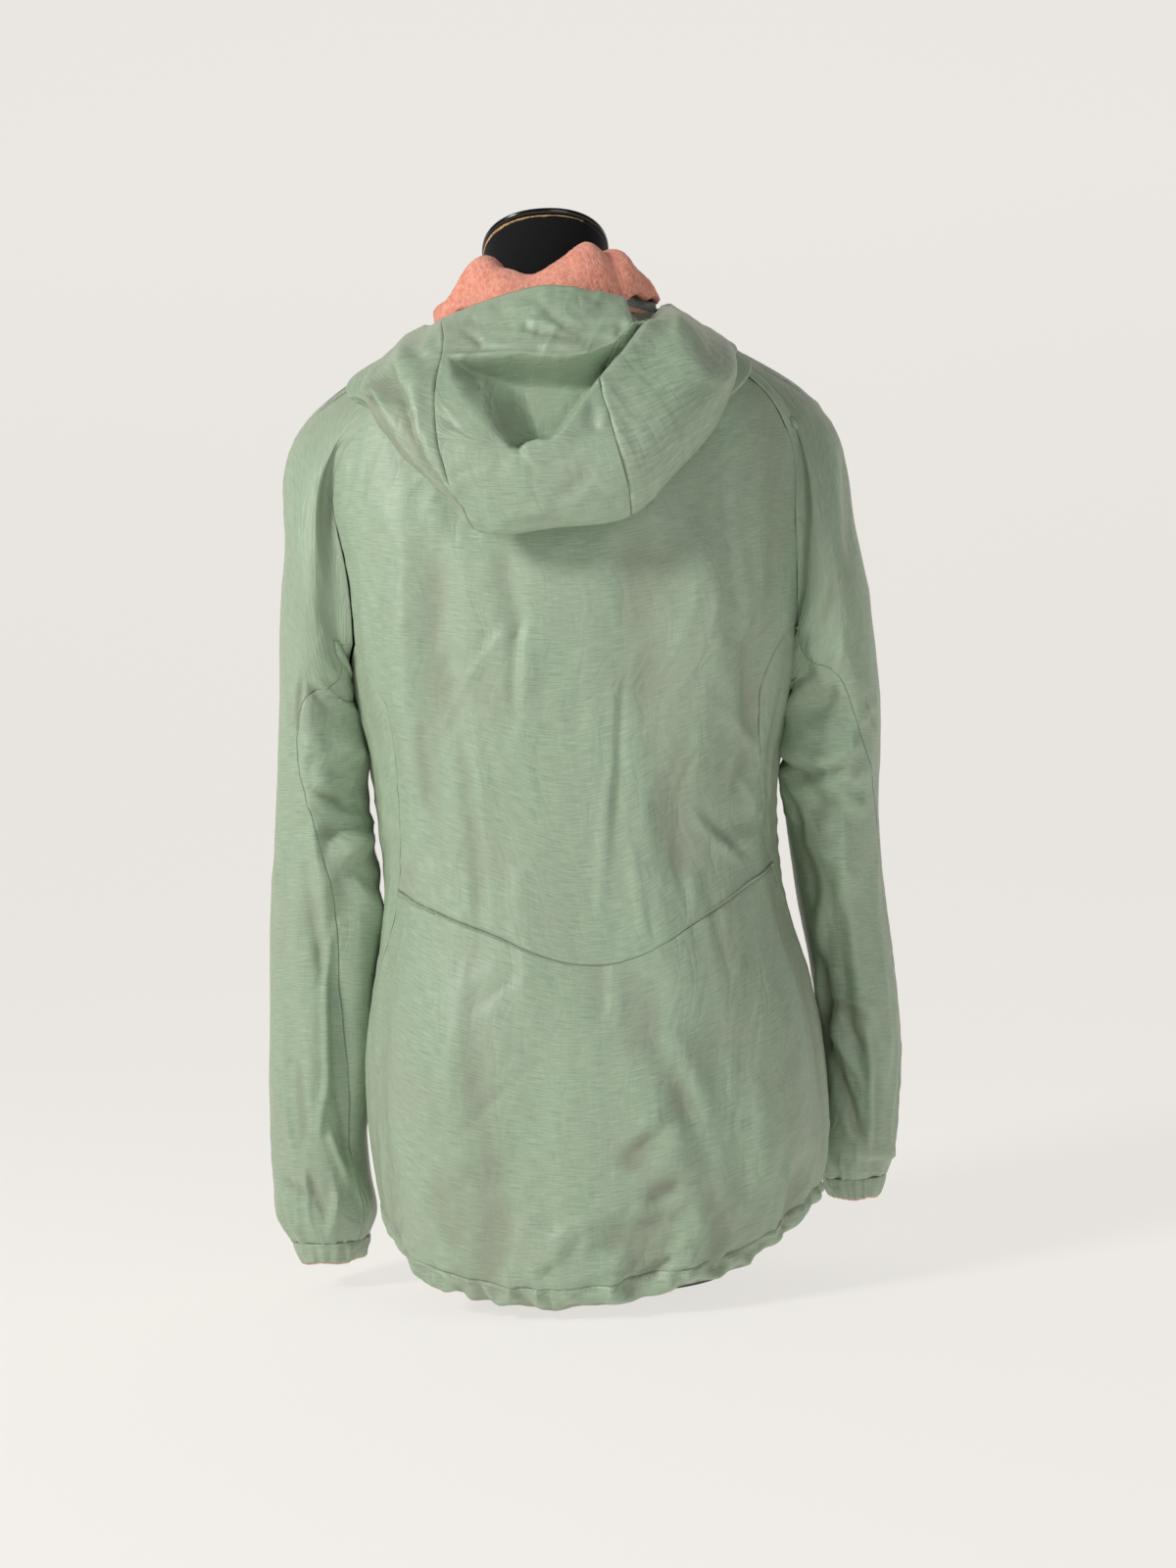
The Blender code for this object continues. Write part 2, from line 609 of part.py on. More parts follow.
def trimmed(points, gap=SEAM_GAP):
    """Moves a piece's edges in by half a seam's gap."""
    out = points.copy()
    for edge, inner in ((0, 1), (-1, -2)):
        out[edge] += unit(points[inner] - points[edge]) * gap / 2
    for edge, inner in ((0, 1), (-1, -2)):
        out[:, edge] += unit(points[:, inner] - points[:, edge]) * gap / 2
    return out


# ---- Meshes --------------------------------------------------------------------------------------


def make_material(name):
    red, green, blue, rough, metal = COLOURS[name]
    material = bpy.data.materials.new(name)
    material.use_nodes = True
    shader = material.node_tree.nodes["Principled BSDF"]
    shader.inputs["Base Color"].default_value = (red, green, blue, 1.0)
    shader.inputs["Roughness"].default_value = rough
    shader.inputs["Metallic"].default_value = metal
    material.diffuse_color = (red, green, blue, 1.0)
    return material


def finish(name, mesh_data, material):
    mesh = bpy.data.meshes.new(name)
    bmesh.ops.recalc_face_normals(mesh_data, faces=mesh_data.faces)
    if mesh_data.calc_volume(signed=True) < 0:
        bmesh.ops.reverse_faces(mesh_data, faces=mesh_data.faces)
    mesh_data.to_mesh(mesh)
    mesh_data.free()
    mesh.shade_smooth()
    mesh.set_sharp_from_angle(angle=math.radians(50))
    mesh.materials.append(MATERIALS[material])
    piece = bpy.data.objects.new(name, mesh)
    JACKET.objects.link(piece)
    return piece


def grid_of(rows, columns, closed=False):
    """A flat grid whose points carry their place, rolled and joined into a tube where it is closed."""
    cloth = bmesh.new()
    bmesh.ops.create_grid(cloth, x_segments=columns - 1, y_segments=rows - 1, size=1.0)
    place = cloth.verts.layers.int.new("place")
    for point in cloth.verts:
        over = round((point.co.x + 1) / 2 * (columns - 1))
        up = round((point.co.y + 1) / 2 * (rows - 1))
        point[place] = up * columns + over
    if closed:
        for point in cloth.verts:
            angle = math.pi * (point.co.x + 1)
            point.co = (math.cos(angle), math.sin(angle), point.co.y)
        bmesh.ops.remove_doubles(cloth, verts=cloth.verts, dist=1e-4)
    return cloth, place


def wall(name, outer, inner, material="shell", closed=False):
    """A piece of cloth with two faces, given as grids of points, joined round its edges."""
    rows, columns = outer.shape[:2]
    cloth, place = grid_of(rows, columns, closed)
    copied = bmesh.ops.extrude_face_region(cloth, geom=cloth.faces[:])["geom"]
    second = {item for item in copied if isinstance(item, bmesh.types.BMVert)}
    faces = (outer.reshape(-1, 3), inner.reshape(-1, 3))
    for point in cloth.verts:
        point.co = faces[1 if point in second else 0][point[place]]
    bmesh.ops.triangulate(cloth, faces=cloth.faces[:], quad_method="SHORT_EDGE")
    return finish(name, cloth, material)


def solid(name, rings, material):
    """A closed body through a stack of rings, flat at both ends."""
    rows, columns = rings.shape[:2]
    body, place = grid_of(rows, columns, closed=True)
    bmesh.ops.holes_fill(body, edges=[edge for edge in body.edges if edge.is_boundary], sides=0)
    points = rings.reshape(-1, 3)
    for point in body.verts:
        point.co = points[point[place]]
    return finish(name, body, material)


# ---- Body panels ---------------------------------------------------------------------------------


def body_panel(name, places):
    points, normals = body_cloth(places[..., 0], places[..., 1])
    points = trimmed(points)
    wall(name, points, points - SHELL * normals)


def back_panels():
    low_left = seam(SIDE_BACK_LOWER, -1, ROWS_HEM)
    low_right = seam(SIDE_BACK_LOWER, 1, ROWS_HEM)
    turns = np.linspace(low_left[0, 0], low_right[0, 0], COLUMNS_BACK + 1)
    bottom = hem_top(turns)
    low_left[:, 1] += (1 - np.linspace(0, 1, ROWS_HEM + 1)) * (bottom[0, 1] - low_left[0, 1])
    low_right[:, 1] += (1 - np.linspace(0, 1, ROWS_HEM + 1)) * (bottom[-1, 1] - low_right[0, 1])
    turns = np.linspace(WAIST[0][0], WAIST[-1][0], COLUMNS_BACK + 1)
    middle = level(turns, smooth(column(WAIST, 0), column(WAIST, 1), turns))
    low_left[-1], low_right[-1] = middle[0], middle[-1]
    body_panel("back_lower", patch(low_left, low_right, bottom, middle))

    left, right = (
        np.concatenate([
            seam(SIDE_BACK_UPPER, side, ROWS_WAIST),
            seam(RAGLAN_BACK[::-1], side, ROWS_RAGLAN)[1:],
        ])
        for side in (-1, 1)
    )
    left[0], right[0] = middle[0], middle[-1]
    turns = np.linspace(left[-1, 0], right[-1, 0], COLUMNS_BACK + 1)
    top = level(turns, neckline(turns))
    left[-1], right[-1] = top[0], top[-1]
    body_panel("back_upper", patch(left, right, middle, top))


def side_seam(lower, upper, side, waist=None):
    """A side seam from hem to armhole, with the waist's own point where another piece ends on it."""
    low = seam(lower, side, ROWS_HEM)
    low[:, 1] += (1 - np.linspace(0, 1, ROWS_HEM + 1)) * (hem_top(low[:1, 0])[0, 1] - low[0, 1])
    high = seam(upper, side, ROWS_WAIST)
    if waist is not None:
        low[-1] = high[0] = waist
    return np.concatenate([low, high[1:]])


def side_panel(side, name):
    waist = np.array(WAIST[0] if side < 0 else WAIST[-1])
    rear = side_seam(SIDE_BACK_LOWER, SIDE_BACK_UPPER, side, waist)
    fore = side_seam(SIDE_FRONT_LOWER, SIDE_FRONT_UPPER, side)
    turns = np.linspace(rear[0, 0], fore[0, 0], COLUMNS_SIDE + 1)
    top = seam(ARMHOLE, side, COLUMNS_SIDE)
    body_panel(name, patch(rear, fore, hem_top(turns), top))


def front_panel(side, name):
    rows = ROWS_HEM + ROWS_WAIST + ROWS_RAGLAN
    outer = side_seam(SIDE_FRONT_LOWER, SIDE_FRONT_UPPER, side)
    outer = np.concatenate([outer, seam(RAGLAN_FRONT[::-1], side, ROWS_RAGLAN)[1:]])
    low = hem_top(np.array([side * 178.0]))[0, 1]
    high = neckline(side * 176.0)
    inner = zip_edge(side, np.linspace(low, high, rows + 1))
    bottom = hem_top(np.linspace(outer[0, 0], inner[0, 0], COLUMNS_FRONT + 1))
    turns = np.linspace(outer[-1, 0], inner[-1, 0], COLUMNS_FRONT + 1)
    top = level(turns, neckline(turns))
    outer[-1], inner[-1], inner[0] = top[0], top[-1], bottom[-1]
    body_panel(name, patch(outer, inner, bottom, top))


def hem_corners(end):
    """The turns of the points along the lower edges of the panels above the casing."""
    rear, fore = SIDE_BACK_LOWER[0], SIDE_FRONT_LOWER[0]
    return np.concatenate([
        np.linspace(-end, -fore[1], COLUMNS_FRONT + 1),
        np.linspace(-fore[1], -rear[1], COLUMNS_SIDE + 1),
        np.linspace(-rear[1], rear[2], COLUMNS_BACK + 1),
        np.linspace(rear[2], fore[2], COLUMNS_SIDE + 1),
        np.linspace(fore[2], end, COLUMNS_FRONT + 1),
    ])


def hem_casing():
    """The gathered casing round the hem, open at the zip."""
    columns = 3 * HEM_GATHERS
    end = zip_edge(1, np.array([HEM_AT_ZIP]))[0, 0]
    turns = np.linspace(-end, end, columns + 1)
    foot = hem_height(turns)
    corners = hem_corners(end)
    top = np.interp(turns, corners, hem_height(corners)) + CASING_TALL - SEAM_GAP
    ripple = np.sin(np.linspace(0.0, 2 * math.pi * HEM_GATHERS, columns + 1)) * GATHER_DEEP
    rows = []
    for share, out in CASING_ROWS:
        points, normals = body_cloth(turns, foot + share * (top - foot))
        rows.append((points + (out * ripple + CASING_PROUD)[:, None] * normals, normals))
    outer = np.array([row[0] for row in rows])
    inner = np.array([row[0] - CASING_WALL * row[1] for row in rows])
    wall("hem_casing", outer, inner)


# ---- Sleeves -------------------------------------------------------------------------------------


def armhole_ring(side):
    """Where a sleeve meets the body: up the front raglan seam, along the neck, down the back raglan seam
    and under the arm, as turn and height, ending where it began."""
    fore = seam(RAGLAN_FRONT[::-1], side, ROWS_RAGLAN)
    rear = seam(RAGLAN_BACK, side, ROWS_RAGLAN)
    fore[-1, 1] = neckline(fore[-1, 0])
    rear[0, 1] = neckline(rear[0, 0])
    turns = np.linspace(fore[-1, 0], rear[0, 0], COLUMNS_NECK + 1)
    neck = level(turns, neckline(turns))
    under = seam(ARMHOLE, side, COLUMNS_SIDE)
    return np.concatenate([fore, neck[1:], rear[1:], under[1:]])


def sleeve_rings(side, name):
    """The rings of a sleeve from its armhole to its cuff, and how it leaves the armhole."""
    ring = armhole_ring(side)
    start, normal = body_cloth(ring[:, 0], ring[:, 1])
    round_it = np.gradient(start, axis=0)
    round_it[0] = round_it[-1] = start[1] - start[-2]
    inward = unit(np.cross(normal, round_it)) * side
    lift = np.radians(80.0) * ease((0.66 - ring[:, 1]) / 0.19)[:, None]
    leave = inward * np.cos(lift) + normal * np.sin(lift)
    facing = normal * np.cos(lift) - inward * np.sin(lift)
    start = start + inward * SEAM_GAP / 2

    main = ring[: 2 * ROWS_RAGLAN + COLUMNS_NECK + 1]
    steps = np.linalg.norm(np.diff(body_surface(main[:, 0], main[:, 1]), axis=0), axis=1)
    share = np.concatenate([[0.0], np.cumsum(steps)])
    middle = np.interp(ROWS_RAGLAN + COLUMNS_NECK / 2, np.arange(len(share)), share)
    share = np.where(share < middle, share / middle - 1.0, (share - middle) / (share[-1] - middle))
    under = np.linspace(0.0, 1.0, COLUMNS_SIDE + 1)[1:]

    def turns(rear, fore):
        over = np.where(share > 0, share * rear, share * fore)
        return np.radians(np.concatenate([over, rear + under * (360.0 - rear - fore)]))

    rings = [start]
    for out0, top, out1, low, deep in SLEEVE_HEAD[name]:
        angle = turns(HEAD_SEAM, HEAD_SEAM)
        out = (out0 + out1) / 2 + (out0 - out1) / 2 * np.cos(angle)
        high = (top + low) / 2 + (top - low) / 2 * np.cos(angle)
        rings.append(np.stack([side * out, 0.004 - deep * np.sin(angle), high], axis=1))
    for height, near, far, fore, deep, rear_seam, fore_seam in SLEEVE[name]:
        angle = turns(rear_seam, fore_seam)
        out = (near + far) / 2 + (far - near) / 2 * np.cos(angle)
        rings.append(np.stack([side * out, fore - deep * np.sin(angle), 0 * out + height], axis=1))
    return np.array(rings), leave, facing, turns


def sleeve_cloth(side, name):
    """The whole sleeve as a grid of points and the way that they face, row 0 at the armhole."""
    rings, leave, facing, turns = sleeve_rings(side, name)
    gaps = np.linalg.norm(np.diff(rings, axis=0), axis=2)
    run = np.concatenate([[0.0], np.cumsum(gaps.mean(axis=1))])
    slopes = np.gradient(rings, run, axis=0)
    slopes[0] = leave * (gaps[0] / (run[1] - run[0]))[:, None]
    marks = np.linspace(0.0, run[-1], ROWS_SLEEVE + 1)
    low = np.clip(np.searchsorted(run, marks, side="right") - 1, 0, len(run) - 2)
    step = (run[low + 1] - run[low])[:, None, None]
    part = ((marks - run[low]) / (run[low + 1] - run[low]))[:, None, None]
    points = between(part, rings[low], step * slopes[low], rings[low + 1], step * slopes[low + 1])
    down = np.gradient(points, axis=0)
    round_it = np.gradient(points, axis=1)
    round_it[:, 0] = round_it[:, -1] = points[:, 1] - points[:, -2]
    normal = unit(np.cross(down, round_it)) * -side
    blend = ease(np.arange(ROWS_SLEEVE + 1) / 1.5)[:, None, None]
    normal = unit(normal * blend + facing[None] * (1 - blend))

    tube = SLEEVE[name]
    heights = points[..., 2]
    middle = np.interp(heights, column(tube, 0)[::-1], (column(tube, 1) + column(tube, 2))[::-1] / 2)
    fore = np.interp(heights, column(tube, 0)[::-1], column(tube, 3)[::-1])
    half = np.interp(heights, column(tube, 0)[::-1], (column(tube, 2) - column(tube, 1))[::-1] / 2)
    deep = np.interp(heights, column(tube, 0)[::-1], column(tube, 4)[::-1])
    angle = np.degrees(np.arctan2((fore - points[..., 1]) / deep, (side * points[..., 0] - middle) / half))
    relief = np.zeros(heights.shape)
    folds = on_cloth(SLEEVE_FOLDS[name], SLEEVE_RADIUS)
    for lap in (-360.0, 0.0, 360.0):
        relief += fold_relief(folds, np.radians(angle + lap) * SLEEVE_RADIUS, heights)
    near = ease(np.arange(ROWS_SLEEVE + 1) / 4.0)[:, None]
    points = points + (relief * near)[..., None] * normal
    return points, normal


def sleeve(side, name):
    points, normal = sleeve_cloth(side, name)
    split = 2 * ROWS_RAGLAN + COLUMNS_NECK
    for piece, part in (("sleeve", slice(0, split + 1)), ("under_sleeve", slice(split, None))):
        cloth = points[:, part].copy()
        facing = normal[:, part]
        for edge, inner in ((0, 1), (-1, -2)):
            cloth[:, edge] += unit(cloth[:, inner] - cloth[:, edge]) * SEAM_GAP / 2
        wall(f"{piece}_{name}", cloth, cloth - SHELL * facing)


def cuff(side, name):
    """The elastic end of a sleeve, a gathered ring just below the sleeve's last section."""
    height, near, far, fore, deep, _, _ = SLEEVE[name][-1]
    columns = 4 * CUFF_GATHERS
    angle = np.linspace(0.0, 2 * math.pi, columns + 1)
    ripple = np.sin(angle * CUFF_GATHERS) * GATHER_DEEP * 0.7
    middle = (near + far) / 2
    faces = []
    for inset in (0.0, CUFF_WALL):
        rows = []
        for share, pull in ((0.0, CUFF_PULLED), (1.0, -CUFF_EASED)):
            out = (far - near) / 2 - pull - inset + ripple
            fro = deep - pull - inset + ripple
            x = side * (middle + out * np.cos(angle))
            z = height - SEAM_GAP - CUFF_TALL * (1 - share) + 0 * angle
            rows.append(np.stack([x, fore - fro * np.sin(angle), z], axis=1))
        faces.append(np.array(rows))
    wall(f"cuff_{name}", faces[0], faces[1], closed=True)


# ---- Hood and collar -----------------------------------------------------------------------------


def clear_of_body(points, gap):
    """Moves points that lie in or on the body out to the given distance from it."""
    heights = np.minimum(points[..., 2], BODY[-1][0])
    sizes = smooth(column(BODY, 0), [row[1:] for row in BODY], heights)
    shift, wide, back, front, square = (sizes[..., k] for k in range(5))
    x = points[..., 0] - shift
    y = points[..., 1]
    deep = np.where(y < 0, back, front)
    reach = ((np.abs(x) / wide) ** square + (np.abs(y) / deep) ** square) ** (1 / square)
    radius = np.hypot(x, y)
    need = 1.0 + gap / np.maximum(radius, 0.02)
    grow = np.where((reach < need) & (points[..., 2] < BODY[-1][0]), need / np.maximum(reach, 0.2), 1.0)
    out = points.copy()
    out[..., 0] = shift + x * grow
    out[..., 1] = y * grow
    return out


def hood_grid(columns, rows):
    """The outer face of the hood, row 0 at its face edge and the last row at the neck seam."""
    stations = column(HOOD, 0)
    guides = np.array([row[1:] for row in HOOD]) * MILLIMETRE
    neck = body_surface(stations, neckline(stations) + NECK_LIFT)
    low = guides[:, 3]
    back = [clear_of_body(low + (neck - low) * share, HOOD_CLEAR) for share in HOOD_RETURN]
    guides = np.concatenate([guides, np.stack([*back, neck], axis=1)], axis=1)
    for side in (0, -1):
        guides[side, :, 0] = guides[side, 0, 0]
    run = np.concatenate([[0.0], np.cumsum(np.linalg.norm(np.diff(guides, axis=1), axis=2).mean(axis=0))])
    share = np.linspace(0.0, 1.0, rows + 1)
    lanes = smooth(run, guides.transpose(1, 0, 2), share * run[-1])
    left = smooth(column(HOOD_SEAM_LEFT, 0), column(HOOD_SEAM_LEFT, 1), share)
    right = smooth(column(HOOD_SEAM_RIGHT, 0), column(HOOD_SEAM_RIGHT, 1), share)
    grid = []
    for number in range(rows + 1):
        turns = [
            np.linspace(stations[0], left[number], columns[0] + 1),
            np.linspace(left[number], right[number], columns[1] + 1)[1:],
            np.linspace(right[number], stations[-1], columns[2] + 1)[1:],
        ]
        grid.append(smooth(stations, lanes[number], np.concatenate(turns)))
    return np.array(grid)


def hollow_depth(x, z):
    """How deep the hood's middle has fallen in, seen from behind."""
    over, up = x - HOLLOW_MIDDLE[0], z - HOLLOW_MIDDLE[1]
    aim = np.degrees(np.arctan2(up, over))
    reach = smooth(column(HOLLOW, 0), column(HOLLOW, 1), aim)
    lip = smooth(column(HOLLOW, 0), column(HOLLOW, 2), aim)
    return HOLLOW_DEEP * ease((reach - np.hypot(over, up)) / lip)


def hood_cloth(columns, rows):
    points = hood_grid(columns, rows)
    down = np.gradient(points, axis=0)
    over = np.gradient(points, axis=1)
    normal = unit(np.cross(down, over))
    share = np.linspace(0.0, 1.0, rows + 1)[:, None]
    outside = ease((HOOD_OUTSIDE[0] - share) / HOOD_OUTSIDE[1])
    x, z = points[..., 0], points[..., 2]
    relief = fold_relief(HOOD_FOLDS, x, z) * outside
    points = points + relief[..., None] * normal
    points[..., 1] += hollow_depth(x, z) * outside * ease(share / HOOD_OUTSIDE[1])
    return points, normal


def hood():
    points, normal = hood_cloth(HOOD_COLUMNS, HOOD_ROWS)
    turns = np.degrees(np.arctan2(np.abs(points[-1, :, 0]), -points[-1, :, 1]))
    points[:-1] = clear_of_body(points[:-1], HOOD_CLEAR)
    points[-1] = clear_of_body(points[-1], np.interp(turns, *NECK_CLEAR))
    first = 0
    for name, count in zip(("hood_left", "hood_middle", "hood_right"), HOOD_COLUMNS):
        part = slice(first, first + count + 1)
        cloth = points[:, part].copy()
        for edge, inner in ((0, 1), (-1, -2)):
            cloth[:, edge] += unit(cloth[:, inner] - cloth[:, edge]) * SEAM_GAP / 2
        wall(name, cloth, cloth - SHELL * normal[:, part])
        first += count


def collar_lanes(turns):
    """The middle of the pile lining at the given turns: from its foot inside the neck, up to its crown,
    and over into the hood."""
    sizes = smooth(column(COLLAR, 0), [row[1:] for row in COLLAR], turns)
    crown, lean, reach, drop = (sizes[:, k] for k in range(4))
    foot = body_surface(turns, neckline(turns))
    outward = unit(foot * (1.0, 1.0, 0.0))
    base = foot - outward * (SHELL + PILE / 2 + COLLAR_INSET)
    rise = crown - base[:, 2]
    lanes = [base - (0, 0, COLLAR_FOOT)]
    for up, out in COLLAR_RISE:
        point = base + outward * (reach * out - lean * up)[:, None]
        point[:, 2] += rise * up
        lanes.append(point)
    for out, down in COLLAR_FALL:
        point = base + outward * (reach * (1 + out) - lean)[:, None]
        point[:, 2] = crown - COLLAR_SINK * np.maximum(drop, 0.0) - down * drop
        lanes.append(point)
    return np.array(lanes)


def collar():
    side = np.degrees(np.arcsin(ZIP_HALF / COLLAR_RADIUS))
    turns = np.linspace(-180.0 + side, 180.0 - side, COLLAR_COLUMNS + 1)
    lanes = collar_lanes(turns)
    run = np.concatenate([[0.0], np.cumsum(np.linalg.norm(np.diff(lanes, axis=0), axis=2).mean(axis=1))])
    points = smooth(run, lanes, np.linspace(0.0, run[-1], COLLAR_ROWS))
    for end, place in ((0, -ZIP_HALF), (-1, ZIP_HALF)):
        points[:, end, 0] = place
    up = np.gradient(points, axis=0)
    over = np.gradient(points, axis=1)
    normal = unit(np.cross(over, up))
    wall("hood_lining", points + PILE / 2 * normal, points - PILE / 2 * normal, "pile")


# ---- Zip -----------------------------------------------------------------------------------------


def zip_path():
    """The zip's line up the middle of the front, as distance forward and height."""
    low, high = hem_height(180.0) + ZIP_ENDS[0], neckline(180.0) - ZIP_ENDS[1]
    heights = np.linspace(low, high, ROWS_ZIP // 2)
    sizes = smooth(column(BODY, 0), column(BODY, 4), heights)
    stand = np.array(HOOD[0][:0:-1])[:, 1:] * MILLIMETRE
    points = np.concatenate([np.stack([sizes, heights], axis=1), stand])
    return along(points, ROWS_ZIP)


def zip_sides():
    path = zip_path()
    tangent = unit(np.gradient(path, axis=0))
    out = np.stack([tangent[:, 1], -tangent[:, 0]], axis=1)
    for side, name in ((-1, "zip_left"), (1, "zip_right")):
        faces = []
        for depth in (SHELL / 2 - ZIP_TAPE / 2, SHELL / 2 + ZIP_TAPE / 2):
            line = path - out * depth
            middle = smooth(column(BODY, 0), column(BODY, 1), path[:, 1])
            edges = [side * SEAM_GAP / 2, side * (ZIP_HALF - 2 * SEAM_GAP)]
            faces.append(np.array([[(m + x, y, z) for x in edges] for m, (y, z) in zip(middle, line)]))
        wall(name, faces[0], faces[1], "zip")


def box(name, low, high, bevel=0.0):
    """A metal block between two corners."""
    shape = bmesh.new()
    bmesh.ops.create_cube(shape, size=1.0)
    size = [b - a for a, b in zip(low, high)]
    bmesh.ops.scale(shape, vec=size, verts=shape.verts)
    bmesh.ops.translate(shape, vec=[(a + b) / 2 for a, b in zip(low, high)], verts=shape.verts)
    if bevel:
        bmesh.ops.bevel(shape, geom=shape.edges[:], offset=bevel, segments=1, profile=0.5, affect="EDGES")
    return finish(name, shape, "metal")


def rod(name, radius, half, centre):
    """A round bar along X."""
    shape = bmesh.new()
    bmesh.ops.create_cone(
        shape, cap_ends=True, segments=ROD_SIDES, radius1=radius, radius2=radius, depth=2 * half
    )
    bmesh.ops.rotate(shape, verts=shape.verts, matrix=TURN_TO_X)
    bmesh.ops.translate(shape, vec=centre, verts=shape.verts)
    return finish(name, shape, "metal")


def combine(keeper, others, operation):
    for other in others:
        step = keeper.modifiers.new(other.name, "BOOLEAN")
        step.operation = operation
        step.object = other
        other.hide_render = True
        other.display_type = "WIRE"
        JACKET.objects.unlink(other)
        CUTTERS.objects.link(other)


def slider_back():
    """The distance forward of the slider's back, just clear of the tape all up its height."""
    path = zip_path()
    heights = SLIDER_HEIGHT + np.linspace(-SLIDER_TALL / 2, SLIDER_TALL / 2, 5)
    return float(np.interp(heights, path[:, 1], path[:, 0]).max()) - SHELL / 2 + ZIP_TAPE / 2 + SEAM_GAP


def zip_slider():
    back = slider_back()
    front = back + SLIDER_DEEP
    low, high = SLIDER_HEIGHT - SLIDER_TALL / 2, SLIDER_HEIGHT + SLIDER_TALL / 2
    pin = front + PIN_OUT
    pin_height = SLIDER_HEIGHT + PIN_RAISED
    body = box("zip_slider", (-SLIDER_WIDE / 2, back, low), (SLIDER_WIDE / 2, front, high), 2 * EDGE)
    parts = []
    for side in (-1, 1):
        inner, outer = sorted((side * EAR_INNER, side * (EAR_INNER + EAR_WIDE)))
        low = (inner, front - EAR_SUNK, pin_height - EAR_HALF)
        high = (outer, pin + EAR_PAST, pin_height + EAR_HALF)
        parts.append(box(f"ear_{side}", low, high, EDGE))
    parts.append(rod("pin", PIN_RADIUS, EAR_INNER + EAR_WIDE / 2, (0.0, pin, pin_height)))
    combine(body, parts, "UNION")
    return pin, pin_height


def zip_pull(pin, pin_height):
    centre = (0.0, pin, pin_height)
    pull = rod("zip_pull", BARREL_RADIUS, BARREL_HALF, centre)
    back, front = pin - PULL_THICK / 2, pin + PULL_THICK / 2
    half = PULL_WIDE / 2
    tab = box("tab", (-half, back, pin_height - PULL_LONG), (half, front, pin_height - PULL_TOP), EDGE)
    half, low, high = PULL_NECK
    neck = box("neck", (-half, back, pin_height - low), (half, front, pin_height - high))
    combine(pull, [tab, neck], "UNION")
    combine(pull, [rod("bore", BARREL_HOLE, BARREL_HALF * 1.5, centre)], "DIFFERENCE")
    set_origin(pull, centre)


def set_origin(piece, place):
    """Puts a piece's own origin on the line that it turns about."""
    for point in piece.data.vertices:
        point.co = [value - shift for value, shift in zip(point.co, place)]
    piece.location = place


# ---- Dress form ----------------------------------------------------------------------------------


def form_ring(height, wide, back, front):
    angle = np.linspace(0.0, 2 * math.pi, FORM_COLUMNS + 1)
    power = 2.0 / FORM_SQUARE
    side, rear = np.sin(angle), np.cos(angle)
    x = wide * np.sign(side) * np.abs(side) ** power
    y = -np.where(rear > 0, back, front) * np.sign(rear) * np.abs(rear) ** power
    lean = -math.tan(NECK_TILT) * y * ease((height - NECK_TURN[0]) / NECK_TURN[1])
    return np.stack([x, y, height + lean], axis=1)


def dress_form():
    heights = np.concatenate([np.linspace(*span) for span in FORM_ROWS])
    sizes = smooth(column(FORM, 0), [row[1:] for row in FORM], heights)
    rings = [form_ring(height, *size) for height, size in zip(heights, sizes)]
    solid("form_body", np.array(rings), "form")
    top = FORM[-1][0]
    cap = [form_ring(top + up, radius, radius, radius) for up, radius in CAP]
    solid("form_cap", np.array(cap), "cap")


# ---- Making the whole ----------------------------------------------------------------------------

for old in list(bpy.data.objects):
    bpy.data.objects.remove(old, do_unlink=True)
JACKET = bpy.data.collections.new("insulated_jacket")
CUTTERS = bpy.data.collections.new("cutters")
for group in (JACKET, CUTTERS):
    bpy.context.scene.collection.children.link(group)
MATERIALS = {name: make_material(name) for name in COLOURS}
TURN_TO_X = Matrix.Rotation(math.radians(90), 3, "Y")

back_panels()
for hand, word in ((-1, "left"), (1, "right")):
    side_panel(hand, f"side_{word}")
    front_panel(hand, f"front_{word}")
    sleeve(hand, word)
    cuff(hand, word)
hem_casing()
hood()
collar()
zip_sides()
zip_pull(*zip_slider())
dress_form()
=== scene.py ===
# %% [markdown]
# # A hooded, insulated jacket on a dress form
#
# The jacket is a wadded women's jacket, seen from behind. It hangs closed on a limbless torso form,
# with its hood thrown back and the hood's pink pile lining standing round the neck.
# The solids that physics uses are loaded first, as a fixed frame. Each cut piece of cloth is then made
# again, much finer, on the same surfaces, and takes the place of its plain solid.

import math

import bmesh
import bpy
import numpy as np
from mathutils import Matrix, Vector


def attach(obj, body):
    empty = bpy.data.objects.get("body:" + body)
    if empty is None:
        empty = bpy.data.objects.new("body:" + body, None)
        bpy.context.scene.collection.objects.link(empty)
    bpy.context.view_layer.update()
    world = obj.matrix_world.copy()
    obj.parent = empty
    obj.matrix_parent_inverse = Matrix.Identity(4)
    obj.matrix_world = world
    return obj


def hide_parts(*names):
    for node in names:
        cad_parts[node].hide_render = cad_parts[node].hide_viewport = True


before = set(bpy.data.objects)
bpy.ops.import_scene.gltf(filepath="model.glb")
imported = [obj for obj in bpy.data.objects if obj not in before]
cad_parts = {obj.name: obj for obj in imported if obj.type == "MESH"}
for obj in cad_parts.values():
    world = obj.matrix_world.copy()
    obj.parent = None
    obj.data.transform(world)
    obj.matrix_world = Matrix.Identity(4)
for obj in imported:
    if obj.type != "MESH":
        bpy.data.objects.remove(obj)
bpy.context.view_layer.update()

# %% [markdown]
# ## Sizes and tables
#
# The surfaces are the same as the solids': level sections for the body, slanting and level sections for
# the sleeves, and a row of stations for the hood. Repeating the tables here keeps the fine cloth exactly
# where the solids are. Another way would be to subdivide the solids, but their triangles would show.

